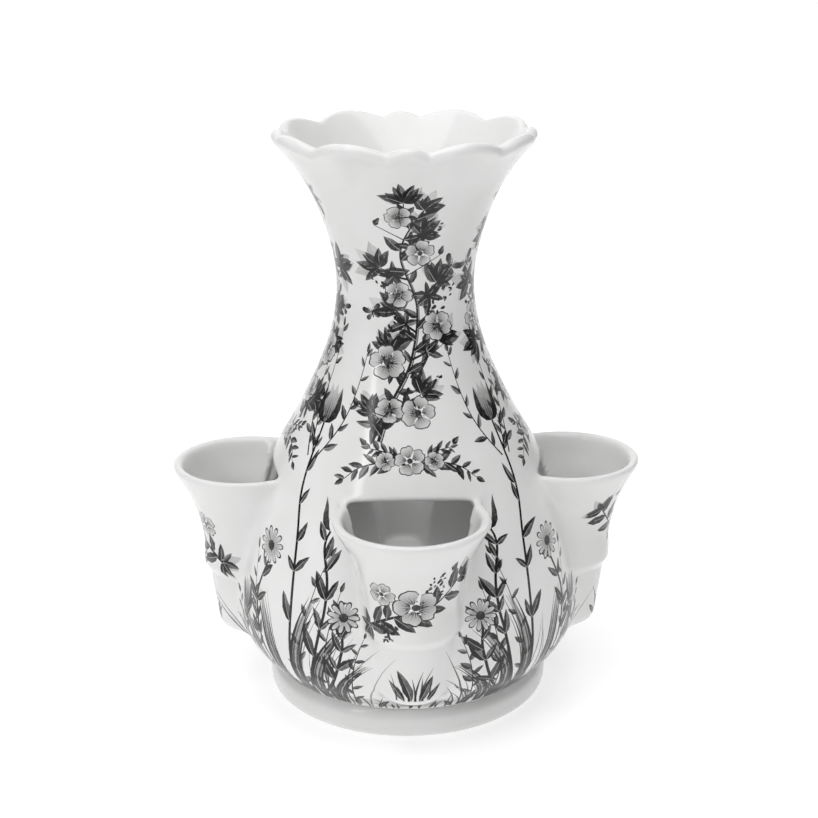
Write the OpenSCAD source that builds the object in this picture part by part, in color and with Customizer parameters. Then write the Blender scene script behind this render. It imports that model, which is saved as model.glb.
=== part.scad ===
// Four-pocket tulipiere in glazed earthenware.
// A pear-shaped belly stands on a rounded foot ring and runs up into a trumpet
// neck with a scalloped lip. Four flower pockets are luted to the belly at
// 90 degrees, each a thrown cup over a narrower boot, and open through a
// window into the belly. Z is up, the foot stands on z = 0, the axis of the
// pot is the Z axis and the first pocket faces -Y.

/* [Body] */
// Height to the middle of the scalloped lip
vase_h = 300; // [285:1:315]
// Largest radius of the belly
belly_r = 92.7; // [90:0.3:95.4]
// Radius of the waist under the trumpet
waist_r = 35.6; // [34:0.2:38]
// Radius of the trumpet at its lip
mouth_r = 67.9; // [64:0.3:70.9]
// Wall thickness of the body
wall_t = 5.5; // [4.5:0.25:6.5]

/* [Foot] */
// Largest radius of the foot ring
foot_r = 75.8; // [74:0.2:78]
// Radius of the recess under the foot
recess_r = 57; // [54:0.5:58]
// Thickness of the floor disc
floor_t = 7; // [5:0.5:9]

/* [Rim] */
// Thickness of the rolled lip
rim_t = 6.2; // [5.4:0.1:6.8]
// Height of a large scallop from valley to crest
wave_h = 4.2; // [2:0.1:4.8]
// Height of a small scallop from valley to crest
wave_small_h = 2.8; // [1:0.1:3.8]

/* [Pockets] */
// Distance from the pot's axis to a pocket's own axis
pocket_d = 85.7; // [84.5:0.2:87.5]
// Radius of a pocket over its lip
lip_r = 38.4; // [37:0.2:39.6]
// Height of a pocket's lip
lip_z = 128; // [126:0.5:130]
// Radius at the collar
collar_r = 24.3; // [23.7:0.1:25]
// Wall thickness of a pocket
pocket_t = 5; // [4:0.25:5.5]
// Height of the window's top edge above the pocket's lip
window_up = 2.6; // [2:0.1:4]

/* [Hidden] */
$fn = 128;

glaze = [0.95, 0.95, 0.945];
clay = [0.93, 0.92, 0.90];

kz = vase_h / 300;
kb = belly_r / 92.7;
kw = waist_r / 35.6;
km = mouth_r / 67.9;
kf = foot_r / 75.8;

// joint heights between the luted pieces
foot_z = 16 * kz;
shoulder_z = 150 * kz;
rim_z = 288 * kz;
collar_z = 68;

// outline of the body: height, radius
outline = [
  [16 * kz, 72.5 * kb], [28 * kz, 83.7 * kb], [42.5 * kz, 91.4 * kb], [59 * kz, 92.7 * kb],
  [79.5 * kz, 89.6 * kb], [106 * kz, 82.3 * kb], [126.5 * kz, 74 * kb], [141.5 * kz, 66.3 * kb],
  [155 * kz, 58.4 * kb], [167 * kz, 52.1 * (kb + kw) / 2], [182.5 * kz, 44.9 * kw],
  [198 * kz, 39.4 * kw], [213 * kz, 36.3 * kw], [228.5 * kz, 35.6 * kw], [244 * kz, 37.9 * kw],
  [259 * kz, 42.3 * (kw + km) / 2], [271.5 * kz, 47.4 * km], [282.5 * kz, 53.7 * km],
  [292 * kz, 60.9 * km], [300 * kz, 67.9 * km]];

// outline of a pocket round its own axis: height, radius
cup_outline = [
  [68, collar_r - 0.8], [72, collar_r], [77.5, collar_r], [84, collar_r - 0.3], [91, collar_r + 0.6],
  [99, lip_r - 11.7], [108, lip_r - 8.8], [117, lip_r - 4.4], [lip_z - 2.5, lip_r]];
boot_outline = [
  [32.7, 0], [32.8, 10.2], [33.3, 13], [34.6, 15.4], [37, 17.2], [42.5, 18.3], [50, 19.3], [57.6, 20.4], [68, 21.7]];

// smooth curve through a list of [height, radius]
function slope(p, i) =
  let (a = max(i - 1, 0), b = min(i + 1, len(p) - 1)) (p[b][1] - p[a][1]) / (p[b][0] - p[a][0]);
function span(p, z, i = 0) = (i >= len(p) - 2 || z < p[i + 1][0]) ? i : span(p, z, i + 1);
function curve(p, z) =
  let (i = span(p, z), h = p[i + 1][0] - p[i][0], t = (z - p[i][0]) / h)
  (2 * t * t * t - 3 * t * t + 1) * p[i][1] + (t * t * t - 2 * t * t + t) * h * slope(p, i)
  + (3 * t * t - 2 * t * t * t) * p[i + 1][1] + (t * t * t - t * t) * h * slope(p, i + 1);
function lean(p, z) = curve(p, z + 0.25) * 2 - curve(p, z - 0.25) * 2;

function body_r(z) = curve(outline, z);
function body_in(z) = body_r(z) - wall_t * sqrt(1 + pow(lean(outline, z), 2));

// heights that divide a stretch into n steps
function steps(a, b, n) = [for (i = [0:n]) a + (b - a) * i / n];

// solid of the body's outside, used to trim what is luted to it
module body_solid(a, b, n) {
  rotate_extrude()
    polygon(concat([[0, a]], [for (z = steps(a, b, n)) [body_r(z), z]], [[0, b]]));
}

// wall of the body between two heights
module body_wall(a, b, n) {
  rotate_extrude()
    polygon(concat([for (z = steps(a, b, n)) [body_r(z), z]],
                   [for (z = steps(b, a, n)) [body_in(z), z]]));
}

// puts a piece that faces -Y at one of the four pocket places
module at_pocket(k) { rotate([0, 0, 90 * k]) children(); }

// turns a section round a pocket's own axis
module pocket_turn(section) {
  translate([0, -pocket_d, 0]) rotate_extrude() polygon(section);
}

function cup_r(z) = curve(cup_outline, z);
function boot_r(z) = curve(boot_outline, z);
function cup_section() =
  let (top = lip_z - pocket_t / 2)
  concat([for (z = steps(collar_z, top, 12)) [cup_r(z), z]],
         [for (a = [30:30:150]) [cup_r(top) - pocket_t / 2 + pocket_t / 2 * cos(a), top + pocket_t / 2 * sin(a)]],
         [for (z = steps(top, collar_z, 12)) [cup_r(z) - pocket_t, z]]);
// inside of the boot, from the collar down to its floor
function boot_in() = [
  [boot_r(collar_z) - pocket_t, collar_z], [boot_r(60) - pocket_t, 60], [boot_r(50) - pocket_t, 50],
  [boot_r(45) - pocket_t, 45], [11.6, 41.6], [9, 39.6], [5, 38.6], [0, 38.3]];
function boot_section() = concat([for (p = boot_outline) [p[1], p[0]]], boot_in());

// opening of a pocket into the belly: the pocket's own bore, and a low arch over its lip
function arch_z(x) = lip_z + window_up - 0.004 * x * x;
module window_cut() {
  w = lip_r - pocket_t - 2.6;
  r = 5;
  pocket_turn(concat([for (i = [len(boot_in()) - 1:-1:0]) boot_in()[i]],
                     [for (z = steps(collar_z + 0.5, lip_z - pocket_t / 2, 12)) [cup_r(z) - pocket_t, z]],
                     [[lip_r - pocket_t, lip_z - 1], [0, lip_z - 1]]));
  translate([0, -40, 0]) rotate([90, 0, 0]) linear_extrude(pocket_d - 40)
    polygon(concat([for (s = [-1, 1]) [s * w, lip_z - 6]],
                   [for (a = [0:15:90]) [w - r + r * cos(a), arch_z(w - r) - r + r * sin(a)]],
                   [for (i = [-5:5]) [-i * (w - r) / 6, arch_z(i * (w - r) / 6)]],
                   [for (a = [90:15:180]) [-w + r + r * cos(a), arch_z(w - r) - r + r * sin(a)]]));
}

module pocket_cup(k) {
  color(glaze) at_pocket(k) difference() {
    pocket_turn(cup_section());
    body_solid(foot_z, shoulder_z, 20);
  }
}

module pocket_boot(k) {
  color(glaze) at_pocket(k) difference() {
    pocket_turn(boot_section());
    body_solid(foot_z, shoulder_z, 20);
  }
}

// rounded ring that the pot stands on, with a seat for the floor disc
module foot_ring() {
  color(clay) rotate_extrude() polygon([
    [recess_r, 0], [70.2 * kf, 0], [72.8 * kf, 0.7 * kz], [74.7 * kf, 2.2 * kz], [75.6 * kf, 4.4 * kz],
    [75.8 * kf, 6.6 * kz], [75.8 * kf, 9.6 * kz], [75.4 * kf, 12 * kz], [74.4 * kf, 14 * kz],
    [73 * kf, 15.3 * kz], [71.6 * kf, foot_z], [recess_r + 8, foot_z], [recess_r + 8, foot_z - floor_t],
    [recess_r, foot_z - floor_t]]);
}

// disc that closes the bottom of the belly, seated in the foot ring
module base_floor() {
  color(clay) translate([0, 0, foot_z - floor_t]) cylinder(h = floor_t, r = recess_r + 8);
}

module belly() {
  color(glaze) difference() {
    body_wall(foot_z, shoulder_z, 20);
    for (k = [0:3]) at_pocket(k) window_cut();
  }
}

module neck() {
  color(glaze) body_wall(shoulder_z, rim_z, 24);
}

// scallops: a small one over each pocket, two large ones between each pair
function lobe(a) =
  let (u = (a % 90 + 90) % 90)
  u < 9 ? wave_small_h * cos(u * 10)
  : u < 45 ? wave_h * sin((u - 9) * 5)
  : u < 81 ? wave_h * sin((u - 45) * 5)
  : wave_small_h * cos((90 - u) * 10);
function rim_top(a) = vase_h - wave_h * 0.55 + lobe(a);
function rim_section(a) =
  let (top = rim_top(a) - rim_t / 2, rc = body_r(top) - rim_t * 0.35)
  concat([for (f = [0, 0.35, 0.7]) [body_r(rim_z + (top - rim_z) * f), rim_z + (top - rim_z) * f]],
         [for (b = [-15:30:195]) [rc + rim_t / 2 * cos(b), top + rim_t / 2 * sin(b)]],
         [for (f = [0.6, 0.3, 0]) [body_in(rim_z + (top - rim_z) * f * 0.8), rim_z + (top - rim_z) * f]]);
module rim() {
  n = 160;
  m = len(rim_section(0));
  color(glaze) polyhedron(
    points = [for (i = [0:n - 1]) let (a = i * 360 / n) for (p = rim_section(a)) [p[0] * sin(a), -p[0] * cos(a), p[1]]],
    faces = [for (i = [0:n - 1]) for (j = [0:m - 1])
      let (i2 = (i + 1) % n, j2 = (j + 1) % m)
      each [[i * m + j, i * m + j2, i2 * m + j2], [i * m + j, i2 * m + j2, i2 * m + j]]]);
}

module pocket_front_cup() { pocket_cup(0); }
module pocket_front_boot() { pocket_boot(0); }
module pocket_right_cup() { pocket_cup(1); }
module pocket_right_boot() { pocket_boot(1); }
module pocket_back_cup() { pocket_cup(2); }
module pocket_back_boot() { pocket_boot(2); }
module pocket_left_cup() { pocket_cup(3); }
module pocket_left_boot() { pocket_boot(3); }

foot_ring();
base_floor();
belly();
neck();
rim();
pocket_front_cup();
pocket_front_boot();
pocket_right_cup();
pocket_right_boot();
pocket_back_cup();
pocket_back_boot();
pocket_left_cup();
pocket_left_boot();
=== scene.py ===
import math
import random
import numpy as np
import bpy
import bmesh
from mathutils import Vector, Matrix, kdtree
from mathutils.geometry import delaunay_2d_cdt


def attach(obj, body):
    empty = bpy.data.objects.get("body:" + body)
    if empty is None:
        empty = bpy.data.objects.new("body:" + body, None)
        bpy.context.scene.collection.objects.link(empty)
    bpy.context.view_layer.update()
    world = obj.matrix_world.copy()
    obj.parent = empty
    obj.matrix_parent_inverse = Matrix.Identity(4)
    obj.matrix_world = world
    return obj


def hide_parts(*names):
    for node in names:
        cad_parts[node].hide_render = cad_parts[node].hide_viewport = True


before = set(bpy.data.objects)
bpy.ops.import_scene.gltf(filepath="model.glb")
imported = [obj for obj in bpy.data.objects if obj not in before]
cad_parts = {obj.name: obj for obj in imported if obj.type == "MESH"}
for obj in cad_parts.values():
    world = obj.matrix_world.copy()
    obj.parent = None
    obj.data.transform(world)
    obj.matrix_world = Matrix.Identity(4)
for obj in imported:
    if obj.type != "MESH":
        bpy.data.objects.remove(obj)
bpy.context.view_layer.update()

PI = math.pi
DEG = PI / 180
MM = 0.001


# ------------------------------------------------------------------ curves
class Spline:
    """Smooth curve through (height, radius) knots, straight beyond its ends."""

    def __init__(self, knots):
        k = np.array(knots, float)
        self.x, self.y = k[:, 0], k[:, 1]
        n = len(self.x)
        h = np.diff(self.x)
        a = np.zeros((n, n))
        b = np.zeros(n)
        a[0, 0] = a[-1, -1] = 1
        for i in range(1, n - 1):
            a[i, i - 1:i + 2] = h[i - 1], 2 * (h[i - 1] + h[i]), h[i]
            b[i] = 6 * ((self.y[i + 1] - self.y[i]) / h[i] - (self.y[i] - self.y[i - 1]) / h[i - 1])
        self.m = np.linalg.solve(a, b)

    def both(self, z):
        z = np.asarray(z, float)
        zc = np.clip(z, self.x[0], self.x[-1])
        i = np.clip(np.searchsorted(self.x, zc, side="right") - 1, 0, len(self.x) - 2)
        h = self.x[i + 1] - self.x[i]
        a, b = (self.x[i + 1] - zc) / h, (zc - self.x[i]) / h
        m0, m1 = self.m[i], self.m[i + 1]
        y = a * self.y[i] + b * self.y[i + 1] + ((a ** 3 - a) * m0 + (b ** 3 - b) * m1) * h * h / 6
        d = (self.y[i + 1] - self.y[i]) / h + (-(3 * a * a - 1) * m0 + (3 * b * b - 1) * m1) * h / 6
        return y + d * (z - zc), d

    def __call__(self, z):
        return self.both(z)[0]


def smoothstep(a, b, x):
    t = np.clip((x - a) / (b - a), 0, 1)
    return t * t * (3 - 2 * t)


def smin(a, b, k):
    h = np.maximum(k - np.abs(a - b), 0) / k
    return np.minimum(a, b) - h * h * h * k / 6


def smax(a, b, k):
    return -smin(-a, -b, k)


# --------------------------------------------------------- shape of the pot
FOOT_Z, SHOULDER_Z, RIM_Z, COLLAR_Z = 16.0, 150.0, 288.0, 68.0
WALL, POCKET_D, LIP_Z, WINDOW_Z = 5.5, 85.7, 128.2, 130.8
BODY = Spline([(16, 72.5), (28, 83.7), (42.5, 91.4), (59, 92.7), (79.5, 89.6), (106, 82.3), (126.5, 74.0),
               (141.5, 66.3), (155, 58.4), (167, 52.1), (182.5, 44.9), (198, 39.4), (213, 36.3), (228.5, 35.6),
               (244, 37.9), (259, 42.3), (271.5, 47.4), (282.5, 53.7), (292, 60.9), (300, 67.9)])
CUP = Spline([(55, 24.0), (68, 24.2), (72, 24.4), (77.5, 24.4), (84, 24.1), (91, 24.9), (99, 26.7), (108, 29.6),
              (117, 34.0), (121.5, 36.4), (125.5, 38.5), (132, 41.4)])
BOOT = Spline([(16, 15.6), (30, 16.6), (37, 17.6), (42.5, 18.3), (50, 19.3), (57.6, 20.4), (65, 21.3), (70, 21.8), (74, 22.0)])
POCKET_IN = Spline([(30, 12.0), (38, 12.6), (44, 13.4), (50, 14.3), (60, 15.8), (68, 17.6), (75, 19.0), (84, 19.2), (91, 20.0),
                    (99, 22.0), (108, 25.4), (117, 29.8), (121.5, 31.6), (125.5, 33.1), (129, 34.3), (134, 35.5)])

# half-width of the way through the belly's wall
SLOT = Spline([(40, 13.2), (60, 16.3), (68, 18.0), (75, 19.4), (84, 19.8), (92, 21.2), (100, 24.0), (108, 27.2), (116, 29.8), (124, 31.4), (134, 32.0)])


def body_in(z):
    r, d = BODY.both(z)
    return r - WALL * np.sqrt(1 + d * d)


def pocket_out(z):
    s = smoothstep(66.0, 72.5, z)
    return BOOT(z) * (1 - s) + CUP(z) * s


def fold(x, y):
    """Coordinates in the frame of the nearest pocket: across it, and out from the axis."""
    r = np.hypot(x, y)
    f = (np.arctan2(x, -y) + PI / 4) % (PI / 2) - PI / 4
    return r, r * np.sin(f), r * np.cos(f)


def pocket_far(across, out, radius, slot=None):
    """Distance past a pocket's round. Its sides run straight in to the axis, so a ray from there leaves it once."""
    a = np.arcsin(np.clip(radius / POCKET_D, 0.0, 0.9))
    s = np.abs(across)
    ahead = out * np.cos(a) + s * np.sin(a)
    side = s * np.cos(a) - out * np.sin(a)
    far = np.where(ahead < POCKET_D * np.cos(a), side, np.hypot(across, out - POCKET_D) - radius)
    if slot is not None:
        far = smin(far, smax(s - slot, ahead - POCKET_D * np.cos(a) + 1.5, 5), 3)
    return far


def f_outside(x, y, z, lip=True):
    r, across, out = fold(x, y)
    br, bd = BODY.both(z)
    body = (r - br) / np.sqrt(1 + bd * bd)
    lean = (pocket_out(z + 0.4) - pocket_out(z - 0.4)) / 0.8
    pocket = pocket_far(across, out, pocket_out(z)) / np.sqrt(1 + lean * lean)
    pocket = smax(pocket, 32.6 - z, 10)
    if lip:
        pocket = smax(pocket, z - LIP_Z, 6)
    return smin(body, pocket, 9)


def f_inside(x, y, z):
    r, across, out = fold(x, y)
    br = body_in(z)
    bd = (body_in(z + 0.4) - body_in(z - 0.4)) / 0.8
    body = (r - br) / np.sqrt(1 + bd * bd)
    pr, pd = POCKET_IN.both(z)
    pocket = pocket_far(across, out, pr, SLOT(z)) / np.sqrt(1 + pd * pd)
    pocket = smax(pocket, 38.0 - z, 7)
    # the window's top is cut square to the wall
    pocket = smax(pocket, (z - WINDOW_Z - 0.46 * (out - 72.5)) * 0.908, 7)
    return smin(body, pocket, 6)


def f_clay(x, y, z):
    return smax(f_outside(x, y, z), -f_inside(x, y, z), 5.4)


def slope_of(fn, p, e=0.04):
    x, y, z = p.T
    return np.stack([fn(x + e, y, z) - fn(x - e, y, z), fn(x, y + e, z) - fn(x, y - e, z),
                     fn(x, y, z + e) - fn(x, y, z - e)], 1) / (2 * e)


def gradient(fn, p):
    g = slope_of(fn, p)
    return g / np.maximum(np.linalg.norm(g, axis=1, keepdims=True), 1e-12)


def skin(fn, phi, z, lo, hi):
    """Points where a horizontal ray from the axis leaves the shape."""
    lo, hi = np.broadcast_to(lo, phi.shape).copy(), np.broadcast_to(hi, phi.shape).copy()
    s, c = np.sin(phi), -np.cos(phi)
    for _ in range(44):
        mid = (lo + hi) / 2
        out = fn(mid * s, mid * c, z) > 0
        hi = np.where(out, mid, hi)
        lo = np.where(out, lo, mid)
    r = (lo + hi) / 2
    return np.stack([r * s, r * c, z], 1)


def outer_skin(phi, z):
    return skin(f_outside, phi, z, BODY(z) - 4, 150.0)


def inner_skin(phi, z):
    return skin(f_inside, phi, z, body_in(z) - 3, np.where(z > 125, body_in(z) + 16, 145.0))


# ------------------------------------- flat layout of the wall: (turn, height)
# The turn runs from T0 to T1, with its seam between two pockets. On the neck it is the plain angle round the axis,
# and where the pockets stand out it follows the length of the outline instead.
R0 = 70.0
QUARTER = PI / 2
T0, T1 = -1.5 * QUARTER, 2.5 * QUARTER
T_N = 500
T_Z = np.arange(14.0, 151.0, 1.0)


def fade(z):
    return smoothstep(114, 148, z)


def layout_tables():
    f = np.linspace(0, PI / 4, T_N + 1)
    rows = np.arange(14.0, 125.5, 1.0)
    zz, ff = np.repeat(rows, len(f)), np.tile(f, len(rows))
    # under the boots the layout keeps to the lines it has just above them
    above = np.maximum(zz, 46.0)
    p = skin(lambda x, y, z: f_outside(x, y, z, False), ff, above, BODY(above) - 4, 150.0).reshape(len(rows), len(f), 3)
    run = np.concatenate([np.zeros((len(rows), 1)),
                          np.cumsum(np.linalg.norm(np.diff(p[..., :2], axis=1), axis=2), 1)], 1)
    turn = run / run[:, -1:] * PI / 4
    pad = len(T_Z) - len(rows)
    turn = np.concatenate([turn, np.repeat(turn[-1:], pad, 0)])
    under = BODY(rows) / BODY(np.maximum(rows, 46.0))
    girth = np.concatenate([run[:, -1] * under, np.full(pad, run[-1, -1])]) * 8
    w = fade(T_Z)[:, None]
    to = f[None] * w + turn * (1 - w)
    back = np.stack([np.interp(f, row, f) for row in to])
    return to, back, girth


TO_TURN, TO_ANGLE, GIRTH = layout_tables()


def look_up(table, a, z):
    k = np.round(a / QUARTER)
    f = a - k * QUARTER
    q = np.clip(np.abs(f) / (PI / 4) * T_N, 0, T_N - 1e-6)
    h = np.clip(z - T_Z[0], 0, len(T_Z) - 1 - 1e-6)
    i, j = h.astype(int), q.astype(int)
    s, t = h - i, q - j
    v = (table[i, j] * (1 - s) * (1 - t) + table[i + 1, j] * s * (1 - t)
         + table[i, j + 1] * (1 - s) * t + table[i + 1, j + 1] * s * t)
    return k * QUARTER + np.sign(f) * v


def to_turn(phi, z):
    return look_up(TO_TURN, np.asarray(phi, float), np.asarray(z, float))


def to_angle(turn, z):
    return look_up(TO_ANGLE, np.asarray(turn, float), np.asarray(z, float))


def per_turn(z):
    """Millimetres of wall to a radian of turn, between the pockets and on the neck."""
    z = np.asarray(z, float)
    w = fade(z)
    around = np.interp(z, T_Z, GIRTH) / (2 * PI)
    return 1 / ((1 - w) / around + w / BODY(z))


def stretch(z):
    """Height as the flat layout takes it: more room where the boots turn under."""
    return z + 4.0 * np.clip(z - 29.5, 0, 5.5)


def unstretch(v):
    return np.where(v < 29.5, v, np.where(v < 57.0, 29.5 + (v - 29.5) / 5, v - 22.0))


def inside_polygon(px, py, poly):
    inside = np.zeros(px.shape, bool)
    x0, y0 = poly[:, 0], poly[:, 1]
    x1, y1 = np.roll(x0, -1), np.roll(y0, -1)
    for a, b, c, d in zip(x0, y0, x1, y1):
        hit = (b > py) != (d > py)
        with np.errstate(divide="ignore", invalid="ignore"):
            inside ^= hit & (px < (c - a) * (py - b) / (d - b) + a)
    return inside


# ------------------------------------------------- rounded edge of the mouths
def trace_mouth(n=232):
    """Sections over the edge of the front pocket's mouth, from the outer skin to the inner skin."""
    e = 0.05
    star = np.array([[0, 0, 0], [e, 0, 0], [-e, 0, 0], [0, e, 0], [0, -e, 0], [0, 0, e], [0, 0, -e]])

    def settle(p, turns=5):
        for _ in range(turns):
            q = p + star
            a = f_outside(q[:, 0], q[:, 1], q[:, 2]) + 0.9
            b = f_inside(q[:, 0], q[:, 1], q[:, 2]) - 0.9
            j = np.array([[a[1] - a[2], a[3] - a[4], a[5] - a[6]], [b[1] - b[2], b[3] - b[4], b[5] - b[6]]]) / (2 * e)
            p = p - j.T @ np.linalg.solve(j @ j.T, np.array([a[0], b[0]]))
        t = np.cross(j[0], j[1])
        return p, t / np.linalg.norm(t)

    p, t = settle(np.array([0.0, -121.6, 127.0]), 12)
    line = [p]
    while len(line) < 700:
        p, t = settle(p + t * 0.8)
        if len(line) > 60 and np.linalg.norm(p - line[0]) < 0.75:
            break
        line.append(p)
    line = np.array(line)
    far = np.concatenate([[0], np.cumsum(np.linalg.norm(np.diff(np.vstack([line, line[:1]]), axis=0), axis=1))])
    want = np.arange(n) / n * far[-1]
    loop = np.vstack([line, line[:1]])
    crest = np.stack([np.interp(want, far, loop[:, i]) for i in range(3)], 1)
    crest = np.array([settle(c, 4)[0] for c in crest])
    tan = np.roll(crest, -1, 0) - np.roll(crest, 1, 0)
    tan /= np.linalg.norm(tan, axis=1, keepdims=True)

    def level(g):
        return g - tan * np.sum(g * tan, 1, keepdims=True)

    def march(sign, steps):
        p, out = crest.copy(), []
        for h in steps:
            g = level(slope_of(f_clay, p))
            d = np.cross(tan, g)
            p = p + sign * h * d / np.linalg.norm(d, axis=1, keepdims=True)
            for _ in range(4):
                g = level(slope_of(f_clay, p))
                v = f_clay(p[:, 0], p[:, 1], p[:, 2])
                p = p - g * (v / np.sum(g * g, 1))[:, None]
            out.append(p)
        return out

    steps = [0.45] * 8 + [0.6] * 3 + [0.75] * 3
    a, b = march(1, steps), march(-1, steps)
    if f_inside(*a[-1].T).mean() < f_inside(*b[-1].T).mean():
        a, b = b, a
    rows = np.stack(a[::-1] + [crest] + b, 1)
    # the loop runs anticlockwise in the flat layout
    turn = np.arctan2(rows[:, 0, 0], -rows[:, 0, 1])
    area = np.sum(turn * np.roll(rows[:, 0, 2], -1) - np.roll(turn, -1) * rows[:, 0, 2])
    return rows if area > 0 else rows[::-1]


MOUTH = trace_mouth()


def flat_loop(points):
    phi = np.arctan2(points[:, 0], -points[:, 1])
    return np.stack([to_turn(phi, points[:, 2]), points[:, 2]], 1)


MOUTH_OUT, MOUTH_IN = flat_loop(MOUTH[:, 0]), flat_loop(MOUTH[:, -1])

SHIELD_HALF = [(0, 27.2), (5, 27.4), (9.0, 28.4), (11.8, 31.0), (13.6, 36), (14.8, 42), (15.8, 51), (16.6, 61), (17.2, 68), (18, 78),
               (19, 88), (21, 98), (24.5, 108), (29, 118), (32, 126), (32, 132), (28.5, 138), (20.5, 141.8),
               (10, 143.2), (0, 143.4)]


def shield_loop():
    half = np.array(SHIELD_HALF, float)
    pts = []
    for i in range(len(half) - 1):
        p0, p1, p2, p3 = (half[min(max(i + j, 0), len(half) - 1)] for j in (-1, 0, 1, 2))
        if i == 0:
            p0 = half[1] * (-1, 1)
        if i == len(half) - 2:
            p3 = half[i] * (-1, 1)
        for s in range(4):
            t = s / 4
            pts.append(0.5 * ((2 * p1) + (p2 - p0) * t + (2 * p0 - 5 * p1 + 4 * p2 - p3) * t * t
                              + (3 * p1 - p0 - 3 * p2 + p3) * t ** 3))
    pts.append(half[-1])
    # the height where the cup meets its boot is a point of its own
    k = int(np.argmin([abs(p[1] - COLLAR_Z) for p in pts]))
    pts[k] = np.array([pts[k][0], COLLAR_Z])
    right = np.array(pts)
    left = right[1:-1][::-1] * (-1, 1)
    loop = np.concatenate([right, left])
    loop[:, 0] = to_turn(loop[:, 0] * DEG, loop[:, 1])
    return loop, k, len(loop) - k


SHIELD, SHIELD_R, SHIELD_L = shield_loop()
PLACES = [("front", 0.0), ("right", QUARTER), ("back", 2 * QUARTER), ("left", -QUARTER)]


def flat(p):
    return np.stack([p[:, 0] * R0, stretch(p[:, 1])], 1)


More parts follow.
